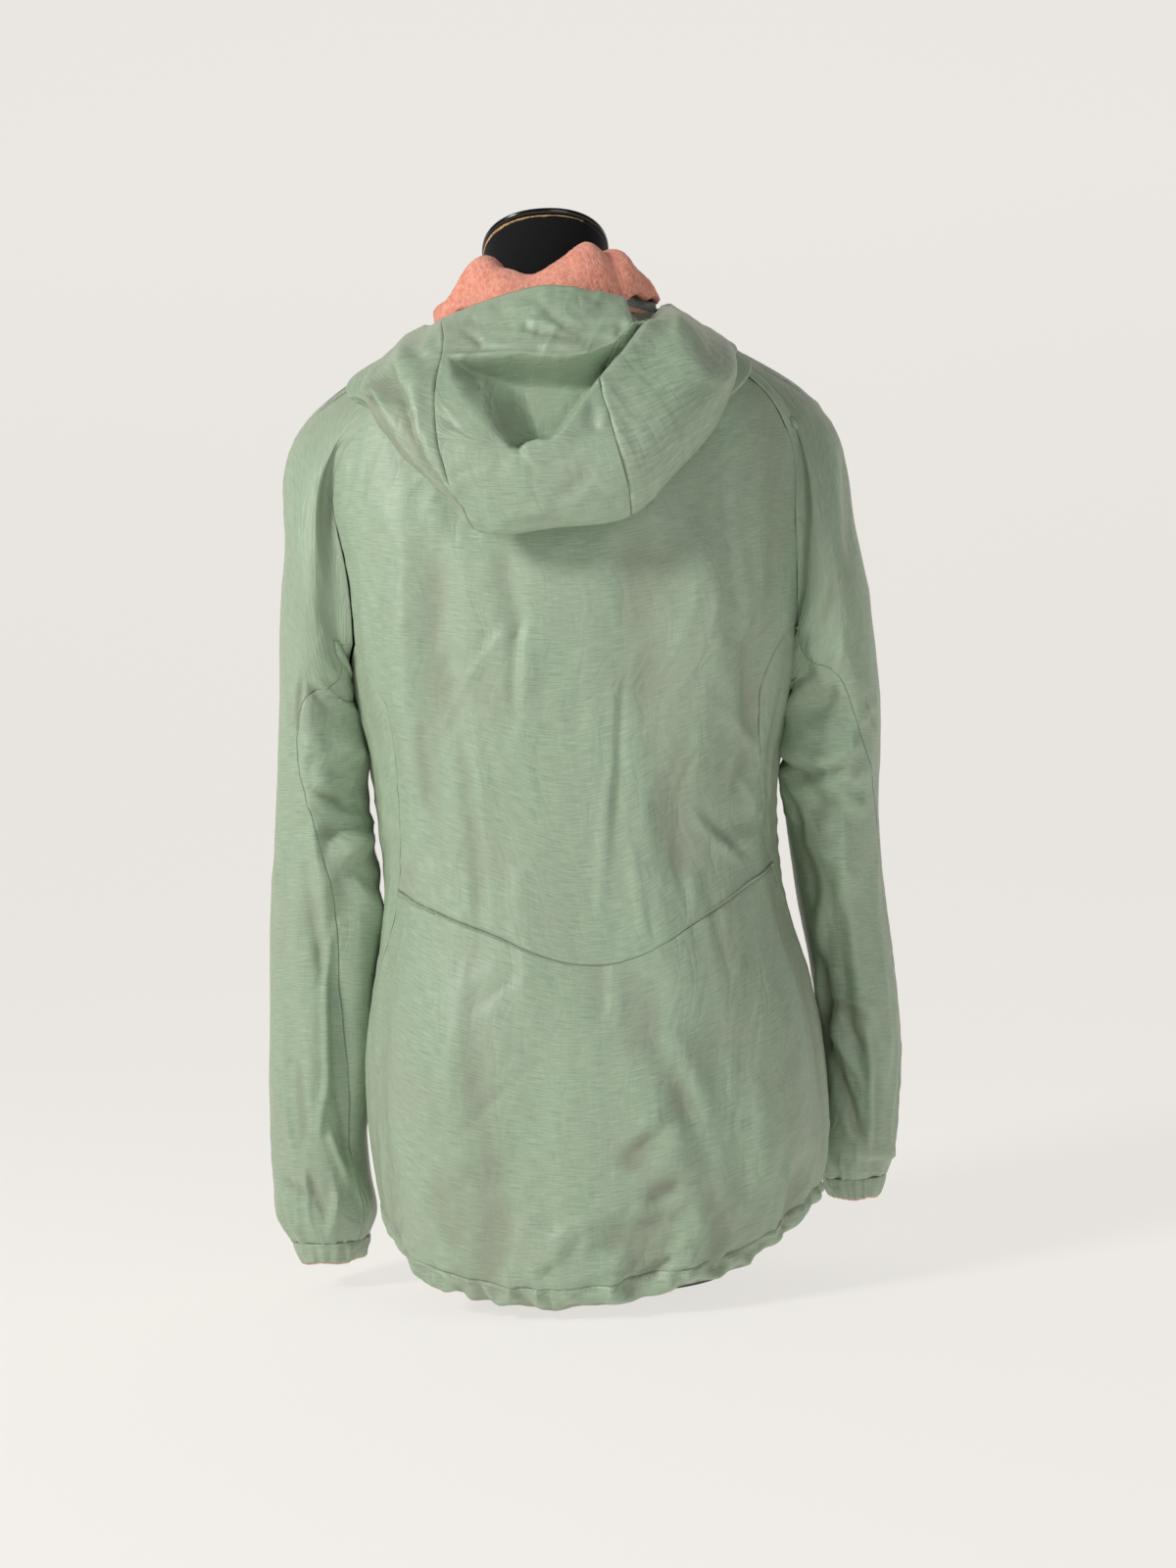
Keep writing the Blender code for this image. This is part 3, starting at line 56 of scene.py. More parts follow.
# %% Real sizes in metres
MILLIMETRE = 0.001
SHELL = 0.002  # shell, wadding and lining, sewn as one wall
PILE = 0.006  # the deep pile of the hood's lining
SEAM_GAP = 0.0001  # drawn closed up: the solids stand 0.3 mm apart
ZIP_HALF = 0.0072
ZIP_TAPE = 0.0012
CASING_TALL = 0.0165
CUFF_TALL = 0.016
CUFF_PULLED = 0.0045
CUFF_EASED = 0.0004
ROWS_HEM = 8
ROWS_WAIST = 7
ROWS_RAGLAN = 8
COLUMNS_BACK = 16
COLUMNS_FRONT = 6
COLUMNS_SIDE = 6
COLUMNS_NECK = 4
ROWS_SLEEVE = 17
ROWS_ZIP = 36
FINE = 8  # steps of fine cloth to one of the solids'
SEAM_ROLL = 0.0012  # the last of the cloth turns down into its seam
print("a shell of", SHELL, "m, a pile of", PILE, "m, seams drawn", SEAM_GAP, "m open")


def in_metres(rows):
    """The rows of a table that is written in millimetres."""
    return [tuple(value / 1000 for value in row) for row in rows]


# %% The tables of the solids
# The jacket's body, a row for each level section: height, shift to the right, half width, depth of the
# back, depth of the front, and squareness (2 is an ellipse).
BODY = (
    (0.000, 0.0000, 0.1500, 0.1320, 0.1300, 2.20),
    (0.030, 0.0020, 0.1600, 0.1410, 0.1360, 2.20),
    (0.060, 0.0050, 0.1685, 0.1455, 0.1390, 2.20),
    (0.100, 0.0070, 0.1755, 0.1480, 0.1410, 2.20),
    (0.150, 0.0070, 0.1780, 0.1480, 0.1420, 2.25),
    (0.190, 0.0065, 0.1755, 0.1450, 0.1410, 2.25),
    (0.230, 0.0065, 0.1685, 0.1390, 0.1380, 2.30),
    (0.270, 0.0050, 0.1590, 0.1320, 0.1340, 2.30),
    (0.310, 0.0040, 0.1530, 0.1280, 0.1320, 2.30),
    (0.360, 0.0025, 0.1535, 0.1270, 0.1340, 2.30),
    (0.420, 0.0040, 0.1620, 0.1290, 0.1410, 2.30),
    (0.460, 0.0050, 0.1710, 0.1310, 0.1460, 2.35),
    (0.500, 0.0060, 0.1780, 0.1320, 0.1470, 2.40),
    (0.560, 0.0060, 0.1870, 0.1300, 0.1400, 2.40),
    (0.600, 0.0050, 0.1920, 0.1260, 0.1290, 2.40),
    (0.640, 0.0050, 0.1930, 0.1185, 0.1135, 2.40),
    (0.670, 0.0040, 0.1870, 0.1100, 0.0980, 2.35),
    (0.690, 0.0020, 0.1700, 0.1030, 0.0870, 2.30),
    (0.705, 0.0000, 0.1440, 0.0965, 0.0780, 2.25),
    (0.720, 0.0000, 0.1150, 0.0895, 0.0690, 2.20),
    (0.735, 0.0000, 0.0870, 0.0810, 0.0610, 2.15),
    (0.750, 0.0000, 0.0620, 0.0700, 0.0530, 2.10),
)

# Seams, a row for each bend: height, turn to the left, turn to the right.
RAGLAN_BACK = (
    (0.741, 45, 45), (0.715, 40.5, 42), (0.687, 41.5, 50), (0.66, 46.7, 55), (0.642, 53.5, 58.5), (0.625, 59, 61),
    (0.605, 62.8, 62.5), (0.58, 62.7, 62.6), (0.55, 62, 64.5), (0.52, 63.5, 68), (0.496, 67, 70),
)
RAGLAN_FRONT = (
    (0.725, 135, 135), (0.7, 130, 130), (0.67, 126, 126), (0.64, 122.5, 122.5), (0.6, 119.5, 119.5),
    (0.55, 116, 116), (0.5, 111, 111),
)
ARMHOLE = (
    (0.496, 67, 70), (0.48, 78, 79), (0.463, 92, 92), (0.482, 103, 103), (0.5, 111, 111),
)
SIDE_BACK_UPPER = (
    (0.312, 63.8, 72.5), (0.338, 60.2, 68), (0.36, 58, 64.9), (0.397, 55.4, 58.6), (0.426, 53.7, 55.6),
    (0.446, 53.2, 54), (0.463, 56, 55.2), (0.481, 61.8, 59.5), (0.496, 67, 70),
)
SIDE_BACK_LOWER = (
    (0.06, 96, 97), (0.12, 93, 94), (0.19, 87, 88), (0.241, 76.5, 81), (0.28, 67.8, 77), (0.312, 63.8, 72.5),
)
SIDE_FRONT_UPPER = (
    (0.312, 110, 110), (0.38, 110.5, 110.5), (0.44, 112, 112), (0.5, 111, 111),
)
SIDE_FRONT_LOWER = (
    (0.06, 119, 119), (0.15, 116, 116), (0.24, 112, 112), (0.312, 110, 110),
)
# The seam across the back: turn, height.
WAIST = (
    (-63.8, 0.307), (-45.7, 0.2956), (-33.6, 0.2856), (-21, 0.2741), (-10.5, 0.2604), (-3.8, 0.2535),
    (1.2, 0.251), (12.1, 0.2575), (26.4, 0.2767), (37, 0.289), (51, 0.3039), (72.5, 0.3165),
)
# The lower edge of the jacket, which dips behind: turn, height.
HEM = (
    (-180, 0.054), (-120, 0.053), (-90, 0.051), (-72, 0.042), (-59, 0.025), (-46, 0.014), (-26, 0.005),
    (-5, 0.0035), (5, 0.006), (15, 0.011), (30, 0.0155), (46, 0.028), (60, 0.042), (75, 0.053), (120, 0.055),
    (180, 0.054),
)

BODY_RADIUS = 0.155  # mean radii, to turn degrees into metres of cloth
SLEEVE_RADIUS = 0.055
NECK_PLAIN = 0.03  # the folds fade out this far below the neck

# Folds hanging on the body, a row each: turn and height (mm) of one end, turn and height of the other, half
# width (mm), and how far it stands out (mm; a hollow is negative).
BODY_FOLDS = (
    (-40, 560, -47, 350, 17, 4.5), (-24, 560, -27, 400, 12, -3), (25, 600, 30, 330, 22, 4),
    (6, 540, 4, 330, 30, -4.5), (47, 520, 50, 380, 12, -3), (66, 350, 30, 345, 10, -2.5),
    (-60, 330, -34, 345, 10, -2.2), (-32, 250, -40, 50, 22, 4.5), (-12, 235, -15, 50, 18, -3.5),
    (8, 230, 10, 60, 22, 3.5), (27, 230, 31, 60, 16, -3.5), (50, 240, 54, 70, 20, 4), (-66, 240, -70, 80, 16, -3),
    (150, 620, 144, 400, 20, 4), (-150, 610, -143, 390, 20, 4), (158, 300, 150, 80, 20, 4),
    (-157, 310, -151, 80, 20, 4), (-128, 520, -150, 450, 12, -3), (128, 520, 150, 455, 12, -3),
    (101, 420, 118, 330, 13, -3), (-101, 420, -118, 330, 13, -3),
)

# The head of each sleeve, a row for each slanting section: distance out and height of its top, distance
# out and height of its lowest point, half depth.
SLEEVE_HEAD = {
    "left": ((0.1945, 0.671, 0.1690, 0.4600, 0.080), (0.2138, 0.565, 0.1697, 0.4535, 0.078)),
    "right": ((0.2005, 0.672, 0.1785, 0.4600, 0.080), (0.2290, 0.565, 0.1775, 0.4535, 0.078)),
}
# The empty, hanging sleeve, a row for each level section: height, nearest the body, farthest out, middle's
# distance forward, half depth, and the turn of the back and front seams from the outer side.
SLEEVE = {
    "left": (
        (0.447, 0.1700, 0.2244, 0.010, 0.074, 77.0, 100.0),
        (0.405, 0.1635, 0.2283, 0.012, 0.068, 72.0, 100.0),
        (0.360, 0.1600, 0.2340, 0.016, 0.060, 90.0, 96.0),
        (0.300, 0.1625, 0.2407, 0.024, 0.054, 110.0, 90.0),
        (0.225, 0.1750, 0.2472, 0.034, 0.052, 125.0, 80.0),
        (0.145, 0.1790, 0.2524, 0.042, 0.050, 133.0, 74.0),
        (0.083, 0.1770, 0.2534, 0.047, 0.046, 138.0, 70.0),
        (0.050, 0.1745, 0.2505, 0.049, 0.041, 140.0, 70.0),
        (0.034, 0.1810, 0.2415, 0.050, 0.033, 140.0, 70.0),
    ),
    "right": (
        (0.447, 0.1775, 0.2408, 0.010, 0.074, 93.0, 92.0),
        (0.405, 0.1700, 0.2395, 0.013, 0.068, 62.0, 104.0),
        (0.360, 0.1650, 0.2363, 0.018, 0.060, 32.0, 128.0),
        (0.300, 0.1695, 0.2374, 0.028, 0.054, 22.0, 150.0),
        (0.225, 0.1800, 0.2450, 0.039, 0.052, 20.0, 165.0),
        (0.157, 0.1850, 0.2472, 0.048, 0.050, 20.0, 178.0),
        (0.110, 0.1810, 0.2430, 0.052, 0.046, 20.0, 188.0),
        (0.080, 0.1770, 0.2390, 0.054, 0.041, 20.0, 190.0),
        (0.062, 0.1820, 0.2320, 0.055, 0.033, 20.0, 190.0),
    ),
}
HEAD_SEAM = 131.0  # turn of both sleeve seams where the head's slanting sections cross them
# Folds on the sleeves, likewise, with their turns from the outer side.
SLEEVE_FOLDS = {
    "left": (
        (60, 640, 78, 520, 14, -3.5), (150, 430, 84, 385, 10, 4.5), (160, 395, 92, 345, 10, -4.5),
        (152, 360, 86, 305, 10, 4.5), (40, 340, 96, 270, 12, -3), (100, 260, 92, 120, 12, 3.5),
        (60, 240, 66, 100, 10, -2.8), (-60, 400, -110, 350, 11, 3.5), (-70, 340, -115, 300, 11, -3.5),
        (-80, 240, -86, 110, 12, 3),
    ),
    "right": (
        (58, 640, 76, 520, 14, -3.5), (150, 440, 70, 420, 10, -5), (155, 410, 66, 375, 10, 5),
        (160, 380, 60, 335, 10, -4.5), (150, 345, 64, 290, 11, 4.5), (84, 250, 76, 120, 12, 3.5),
        (112, 250, 104, 110, 10, -3), (-60, 400, -110, 350, 11, 3.5), (-70, 340, -115, 300, 11, -3.5),
        (-80, 240, -86, 110, 12, 3),
    ),
}

# The hood, thrown back, as a bag round the neck. A row for each station, from the zip round the left side,
# the back and the right side to the zip again: turn, then three sizes each (to the right, forward, height,
# in millimetres) for the face edge, the upper side, the belly and the lowest point.
HOOD = (
    (-174.0, (-7.2, 79, 762), (-7.2, 81.5, 752), (-7.2, 81, 742), (-7.2, 78.5, 732)),
    (-140.0, (-62, 67, 762), (-67, 71, 754), (-69, 72, 745), (-70, 70, 736)),
    (-105.0, (-85, 12, 750), (-98, 12, 747), (-108, 12, 740), (-108, 12, 733)),
    (-75.0, (-95, -25, 747), (-116, -36, 739), (-135, -48, 722), (-145, -54, 706)),
    (-52.0, (-82, -84, 733), (-118, -108, 712), (-140, -122, 678), (-123, -120, 638)),
    (-32.0, (-54, -112, 737), (-80, -140, 702), (-108, -162, 640), (-90, -154, 597)),
    (-18.0, (-30, -123, 742), (-42, -148, 698), (-66, -180, 618), (-58, -162, 567)),
    (0.0, (0, -127, 746), (0, -152, 698), (-2, -186, 612), (-2, -165, 566)),
    (18.0, (32, -122, 742), (42, -148, 699), (60, -180, 620), (54, -161, 573)),
    (32.0, (56, -110, 738), (82, -140, 704), (100, -160, 645), (84, -150, 600)),
    (52.0, (78, -86, 735), (114, -112, 716), (134, -120, 680), (120, -118, 641)),
    (75.0, (92, -30, 746), (116, -40, 741), (134, -50, 724), (141, -54, 708)),
    (105.0, (85, 12, 750), (98, 12, 747), (108, 12, 740), (108, 12, 733)),
    (140.0, (62, 67, 762), (67, 71, 754), (69, 72, 745), (70, 70, 736)),
    (174.0, (7.2, 79, 762), (7.2, 81.5, 752), (7.2, 81, 742), (7.2, 78.5, 732)),
)
# How the bag turns up from its lowest point to the neck seam: shares of the way to the neck.
HOOD_RETURN = (0.38, 0.72)
HOOD_CLEAR = 0.0055  # between the bag and the body under it
HOOD_OUTSIDE = (0.58, 0.12)  # share of the way where the outer side ends, and how softly
NECK_LIFT = 0.0020  # the hood's neck seam above the body's
NECK_CLEAR = ((70.0, 110.0), (0.0010, 0.0034))  # and outside it: turns, distances
# The two seams of the hood's middle panel, from face edge to neck: share of the way, turn.
HOOD_SEAM_LEFT = (
    (0, -47), (0.1, -34.5), (0.24, -27.2), (0.32, -23.6), (0.4, -21.1), (0.48, -18.4), (0.56, -17.5),
    (0.8, -23.5), (1, -30),
)
HOOD_SEAM_RIGHT = (
    (0, 35), (0.08, 28.5), (0.12, 25), (0.17, 19), (0.22, 13), (0.28, 12.8), (0.36, 13.8), (0.44, 16.4),
    (0.56, 18.5), (0.8, 24), (1, 30),
)
# Folds on the hood, as seen from behind, in mm: to the right and height of each end, half width, stand-out.
HOOD_FOLDS = in_metres((
    (-118, 735, -86, 660, 10, 5), (100, 735, 110, 660, 14, 5),
))

# The pile lining that stands round the neck and rolls over into the hood. A row for each station: turn,
# height of the crown, how far the crown stands in from the neck seam, and how far the roll reaches out
# and down past the crown.
COLLAR = (
    (-174.0, 0.7600, -0.0035, 0.0010, -0.0060),
    (-140.0, 0.7580, 0.0025, 0.0010, -0.0050),
    (-112.0, 0.7520, 0.0045, 0.0050, -0.0010),
    (-88.0, 0.7570, 0.0050, 0.0125, 0.0040),
    (-66.0, 0.7640, 0.0060, 0.0240, 0.0110),
    (-50.0, 0.7700, 0.0070, 0.0290, 0.0220),
    (-33.0, 0.7805, 0.0080, 0.0240, 0.0400),
    (-20.0, 0.7700, 0.0060, 0.0240, 0.0400),
    (-6.0, 0.7625, 0.0050, 0.0240, 0.0380),
    (8.0, 0.7740, 0.0060, 0.0240, 0.0400),
    (20.0, 0.7845, 0.0080, 0.0240, 0.0420),
    (30.0, 0.7800, 0.0075, 0.0240, 0.0380),
    (42.0, 0.7800, 0.0070, 0.0250, 0.0330),
    (60.0, 0.7710, 0.0060, 0.0240, 0.0150),
    (88.0, 0.7570, 0.0050, 0.0120, 0.0040),
    (112.0, 0.7520, 0.0045, 0.0050, -0.0010),
    (140.0, 0.7580, 0.0025, 0.0010, -0.0050),
    (174.0, 0.7600, -0.0035, 0.0010, -0.0060),
)
COLLAR_INSET = 0.0018  # between the body's inner face and the pile
COLLAR_FOOT = 0.003  # how far the lining reaches below the neck seam
COLLAR_RADIUS = 0.062  # of the neck where the lining ends at the zip
# The lining's line past its foot: share of the height, share of the reach.
COLLAR_RISE = ((0.45, 0.0), (0.92, 0.30))
# From its crown on: share of the reach farther out, share of the drop.
COLLAR_FALL = ((0.0, 0.0), (0.45, 0.45), (0.60, 1.0))
COLLAR_SINK = 0.12  # share of the drop that the crown itself gives way

HEM_AT_ZIP = 0.06

# The dress form, a row for each level section: height, half width, depth of the back, depth of the front.
FORM = (
    (0.000, 0.0960, 0.0720, 0.0760),
    (0.006, 0.1040, 0.0800, 0.0840),
    (0.025, 0.1180, 0.0900, 0.0920),
    (0.070, 0.1420, 0.1080, 0.1040),
    (0.130, 0.1590, 0.1210, 0.1120),
    (0.200, 0.1540, 0.1160, 0.1100),
    (0.270, 0.1370, 0.1040, 0.1020),
    (0.337, 0.1270, 0.0960, 0.0980),
    (0.400, 0.1320, 0.1000, 0.1060),
    (0.470, 0.1440, 0.1080, 0.1220),
    (0.540, 0.1520, 0.1120, 0.1260),
    (0.600, 0.1560, 0.1090, 0.1120),
    (0.640, 0.1570, 0.1020, 0.0960),
    (0.670, 0.1580, 0.0960, 0.0800),
    (0.690, 0.1548, 0.0905, 0.0695),
    (0.702, 0.1425, 0.0868, 0.0617),
    (0.714, 0.1190, 0.0805, 0.0552),
    (0.726, 0.0865, 0.0712, 0.0520),
    (0.738, 0.0610, 0.0590, 0.0505),
    (0.748, 0.0530, 0.0530, 0.0495),
    (0.760, 0.0500, 0.0500, 0.0490),
    (0.775, 0.0480, 0.0480, 0.0480),
    (0.793, 0.0478, 0.0478, 0.0478),
)
FORM_SQUARE = 2.2
NECK_TILT = math.radians(24.0)
NECK_TURN = (0.745, 0.040)  # where the tilt begins, and over what height it comes in
# The cap on the form's neck: height above the neck, radius.
CAP = (
    (0.0003, 0.047), (0.0015, 0.0488), (0.004, 0.049), (0.0055, 0.0475), (0.008, 0.039), (0.01, 0.025),
    (0.0108, 0.01),
)
print(len(BODY), "level sections of the body,", len(HOOD), "stations of the hood,", len(FORM), "of the form")

# %% [markdown]
# ## Reading the tables
#
# A table gives a few rows, and a smooth curve through them gives every row between. The same curves shape
# the solids, so that a place on the cloth means the same here. A turn is an angle about the upright
# axis, 0 at the middle of the back and +90 at the wearer's right.

# %% Smooth curves through a table
def between(part, start, leave, end, arrive):
    """The curve from start to end that leaves and arrives by the given steps."""
    return (
        (2 * part**3 - 3 * part**2 + 1) * start
        + (part**3 - 2 * part**2 + part) * leave
        + (-2 * part**3 + 3 * part**2) * end
        + (part**3 - part**2) * arrive
    )


def smooth(keys, rows, places):
    """A smooth curve through the rows of a table, read at the given places along its keys."""
    keys = np.asarray(keys, float)
    rows = np.asarray(rows, float)
    slopes = np.gradient(rows, keys, axis=0)
    places = np.clip(np.asarray(places, float), keys[0], keys[-1])
    low = np.clip(np.searchsorted(keys, places) - 1, 0, len(keys) - 2)
    step = keys[low + 1] - keys[low]
    part = (places - keys[low]) / step
    extra = (1,) * (rows.ndim - 1)
    part = part.reshape(part.shape + extra)
    step = step.reshape(step.shape + extra)
    return between(part, rows[low], step * slopes[low], rows[low + 1], step * slopes[low + 1])


def column(table, number):
    return np.array([row[number] for row in table], float)


def ease(part):
    part = np.clip(part, 0.0, 1.0)
    return part * part * (3 - 2 * part)


def unit(vectors):
    return vectors / np.maximum(np.linalg.norm(vectors, axis=-1, keepdims=True), 1e-12)


def read(table, places):
    """The sizes in a table, as rows, at the given places along its first column."""
    return smooth(column(table, 0), [row[1:] for row in table], places)


def run_of(points, over=()):
    """How far along its line each point lies; where points are rows of rows, over is averaged out."""
    gaps = np.linalg.norm(np.diff(points, axis=0), axis=-1)
    return np.concatenate([[0.0], np.cumsum(gaps.mean(axis=over) if over else gaps)])


def along(points, count):
    """Equal steps along a curve through the given points."""
    run = run_of(points)
    return smooth(run, points, np.linspace(0.0, run[-1], count + 1))


def oval(angle, wide, back, front, square):
    """A level section's points, to the right and forward: 2 is an ellipse and more is squarer."""
    side, rear = np.sin(angle), np.cos(angle)
    power = 2.0 / square
    deep = np.where(rear > 0, back, front)
    return wide * np.sign(side) * np.abs(side) ** power, -deep * np.sign(rear) * np.abs(rear) ** power


def body_sizes(heights):
    """The body's shift, half width, back depth, front depth and squareness at the given heights."""
    sizes = read(BODY, heights)
    return [sizes[..., k] for k in range(5)]


print("half width at the waist:", round(float(body_sizes(0.31)[1]), 3), "m")


# %% The body's surface and its folds
def body_surface(turn, height):
    """The plain outer surface of the jacket's body, before its folds."""
    shift, *sizes = body_sizes(height)
    x, y = oval(np.radians(turn), *sizes)
    return np.stack([shift + x, y, np.asarray(height, float) + 0 * x], axis=-1)


def body_normal(turn, height):
    turn = np.asarray(turn, float)
    height = np.asarray(height, float)
    across = body_surface(turn + 0.3, height) - body_surface(turn - 0.3, height)
    upward = body_surface(turn, height + 0.0006) - body_surface(turn, height - 0.0006)
    return unit(np.cross(across, upward))


def fold_relief(folds, across, upward):
    """How far a place stands out: each fold fades away from its line and at both ends."""
    relief = np.zeros(np.shape(across))
    for x0, z0, x1, z1, half, out in folds:
        long2 = (x1 - x0) ** 2 + (z1 - z0) ** 2
        part = ((across - x0) * (x1 - x0) + (upward - z0) * (z1 - z0)) / long2
        inside = np.clip(part, 0.0, 1.0)
        gap2 = (across - x0 - inside * (x1 - x0)) ** 2 + (upward - z0 - inside * (z1 - z0)) ** 2
        taper = ease(inside / 0.3) * ease((1.0 - inside) / 0.3)
        relief = relief + out * taper * np.exp(-gap2 / half**2)
    return relief


def on_cloth(folds, radius):
    """Folds with their turns as metres of cloth round a tube of the given mean radius."""
    scale = math.radians(radius)
    return [
        (turn0 * scale, height0 / 1000, turn1 * scale, height1 / 1000, half / 1000, out / 1000)
        for turn0, height0, turn1, height1, half, out in folds
    ]


def body_relief(turn, height):
    turn = np.asarray(turn, float)
    relief = fold_relief(on_cloth(BODY_FOLDS, BODY_RADIUS), np.radians(turn) * BODY_RADIUS, height)
    return relief * ease((neckline(turn) - height) / NECK_PLAIN)


def neckline(turn):
    angle = np.radians(turn)
    return 0.7345 + 0.013 * np.cos(angle) - 0.0095 * np.cos(2 * angle)


def hem_height(turn):
    return read(HEM, turn)[..., 0]


def body_cloth(turn, height):
    """The outer face of the cloth on the body, and the way that it faces."""
    normal = body_normal(turn, height)
    return body_surface(turn, height) + body_relief(turn, height)[..., None] * normal, normal


print("the middle of the back, 0.56 m up:", body_cloth(0.0, 0.56)[0].round(3))


# %% Seams, as rows of turn and height
def steps(count, length=0.3, start=True, end=True):
    """Shares of the way along a panel's side, with a close extra step beside each seam."""
    even = np.linspace(0.0, 1.0, count * FINE + 1)
    close = SEAM_ROLL / length
    return np.sort(np.concatenate([even, [close] * start, [1 - close] * end]))


def seam(table, side, marks):
    """Places along a seam, as rows of turn and height, on the left (-1) or the right (+1)."""
    turn = side * column(table, 1 if side < 0 else 2)
    height = column(table, 0)
    fine = np.linspace(0.0, 1.0, 120)
    share = np.linspace(0.0, 1.0, len(height))
    turn, height = smooth(share, turn, fine), smooth(share, height, fine)
    run = run_of(body_surface(turn, height))
    marks = marks * run[-1]
    return np.stack([np.interp(marks, run, turn), np.interp(marks, run, height)], axis=1)


def level(turns, heights):
    return np.stack([np.asarray(turns, float), np.asarray(heights, float)], axis=1)


def hem_top(turns):
    return level(turns, hem_height(turns) + CASING_TALL + SEAM_GAP)


def zip_edge(side, heights):
    """The front's edge at the zip, at a fixed distance from the middle."""
    _, wide, _, _, square = body_sizes(heights)
    away = np.degrees(np.arcsin((ZIP_HALF / wide) ** (square / 2)))
    return level(side * (180.0 - away), heights)


def patch(left, right, bottom, top, up, over):
    """Rows of turn and height filling the four seams round a piece, each row from left to right."""
    up, over = up[:, None, None], over[None, :, None]
    sides = (1 - over) * left[:, None] + over * right[:, None]
    ends = (1 - up) * bottom[None] + up * top[None]
    low, high = (1 - over) * left[0] + over * right[0], (1 - over) * left[-1] + over * right[-1]
    return sides + ends - (1 - up) * low - up * high


def trimmed(points, ends=True):
    """Moves a piece's side edges, and its ends too, in by half a seam's gap."""
    out = points.copy()
    for edge, inner in ((0, 1), (-1, -2)):
        if ends:
            out[edge] += unit(points[inner] - points[edge]) * SEAM_GAP / 2
        out[:, edge] += unit(points[:, inner] - points[:, edge]) * SEAM_GAP / 2
    return out


print("fine steps across the back:", len(steps(COLUMNS_BACK)))

# %% [markdown]
# ## Materials
#
# The shell is a light woven polyester, slubby, heathered and shot with a warmer thread: sage green, with a painted
# shade that turns it browner in the hollows of its folds. The lining is a salmon pink sherpa pile, the form is
# covered in black jersey and its cap is black gloss plastic. All are made from noise at the threads' real size.

# %% Colours and helpers for nodes
def srgb(code):
    """A hex colour as the linear values that Blender's shaders want."""
    parts = [int(code[k : k + 2], 16) / 255 for k in (1, 3, 5)]
    return tuple(v / 12.92 if v <= 0.04045 else ((v + 0.055) / 1.055) ** 2.4 for v in parts) + (1.0,)


def add(tree, kind, inputs=(), **settings):
    """Adds one node: settings are its own, and inputs are values or the sockets that feed it."""
    node = tree.nodes.new("ShaderNode" + kind)
    for name, value in settings.items():
        setattr(node, name, value)
    for name, value in dict(inputs).items():
        if isinstance(value, bpy.types.NodeSocket):
            tree.links.new(value, node.inputs[name])
        else:
            node.inputs[name].default_value = value
    return node


def noise(tree, place, scale=1.0, detail=2.0, **more):
    return add(tree, "TexNoise", {"Vector": place, "Scale": scale, "Detail": detail, **more}).outputs[0]


def stretched(tree, place, scale, turn=0.0):
    """The place, drawn out to other scales along its axes."""
    return add(tree, "Mapping", {"Vector": place, "Rotation": (0.0, 0.0, turn), "Scale": scale}).outputs[0]


def ramp(tree, value, low, high, top=1.0):
    """From 0 at the low value to top at the high one."""
    return add(tree, "MapRange", {"Value": value, "From Min": low, "From Max": high, "To Max": top}).outputs[0]


def maths(tree, operation, *values):
    return add(tree, "Math", dict(enumerate(values)), operation=operation).outputs[0]


def blend(tree, share, low, high):
    """A colour between two others, each a hex code or a socket."""
    low, high = (srgb(colour) if isinstance(colour, str) else colour for colour in (low, high))
    return add(tree, "Mix", {"Factor": share, 6: low, 7: high}, data_type="RGBA").outputs[2]


def finished(made, colour, height, strength, distance, **under):
    """Links the colour and the bump to the shader, and gives back the material."""
    material, tree, shader = made
    tree.links.new(colour, shader.inputs["Base Color"])
    bump = add(tree, "Bump", {"Height": height, "Strength": strength, "Distance": distance, **under})
    tree.links.new(bump.outputs[0], shader.inputs["Normal"])
    return material


def new_material(name, **uniform):
    """A material with its Principled shader, and the values that are the same all over it."""
    material = bpy.data.materials.new(name)
    material.use_nodes = True
    shader = material.node_tree.nodes["Principled BSDF"]
    for socket, value in uniform.items():
        shader.inputs[socket.replace("_", " ")].default_value = value
    return material, material.node_tree, shader

print("sage in linear light:", [round(value, 3) for value in srgb("#ABBEA5")[:3]])


# %% Woven shell
THREAD = 0.0009  # drawn twice as coarse as the real 0.4 mm pick, so that it shows
SLUB = 0.015  # a slub thickens the weft for about this long


def woven(name, light, dark, warm, fold_painted_shade):
    """Plain-woven heathered polyester: slubs along the weft, fainter threads along the warp."""
    made = new_material(
        name, Roughness=0.46, Specular_IOR_Level=0.38, Sheen_Weight=0.14, Sheen_Roughness=0.40,
        Sheen_Tint=srgb("#DCC9BC"),
    )
    tree = made[1]
    place = add(tree, "UVMap", uv_map="cloth").outputs[0]
    slubs = noise(tree, stretched(tree, place, (1 / SLUB, 1 / THREAD, 1.0)), detail=3.0, Roughness=0.65)
    ends = noise(tree, stretched(tree, place, (1 / THREAD, 1 / SLUB, 1.0)), Roughness=0.5)
    thread = maths(tree, "MULTIPLY_ADD", ends, 0.14, maths(tree, "MULTIPLY", slubs, 0.86))
    heather = blend(tree, ramp(tree, thread, 0.34, 0.66), dark, light)
    patchy = ramp(tree, noise(tree, place, 14.0, 3.0), 0.40, 0.75, 0.35)
    stands = add(tree, "Attribute", attribute_name="stands").outputs["Fac"]
    # painted shade: where the cloth lies deep in a fold, its colour turns towards the browner painted fold shade
    valley = ramp(tree, stands, 0.4, -3.2, 0.42)
    colour = blend(tree, valley, blend(tree, patchy, heather, warm), fold_painted_shade)
    crumple = noise(tree, stretched(tree, place, (46.0, 20.0, 1.0), 0.35), detail=2.5, Distortion=0.45)
    crease = maths(tree, "ABSOLUTE", maths(tree, "SUBTRACT", crumple, 0.5))
    soft = add(tree, "Bump", {"Height": crease, "Strength": 0.42, "Distance": 0.0060}).outputs[0]
    return finished(made, colour, thread, 0.30, 0.0004, Normal=soft)
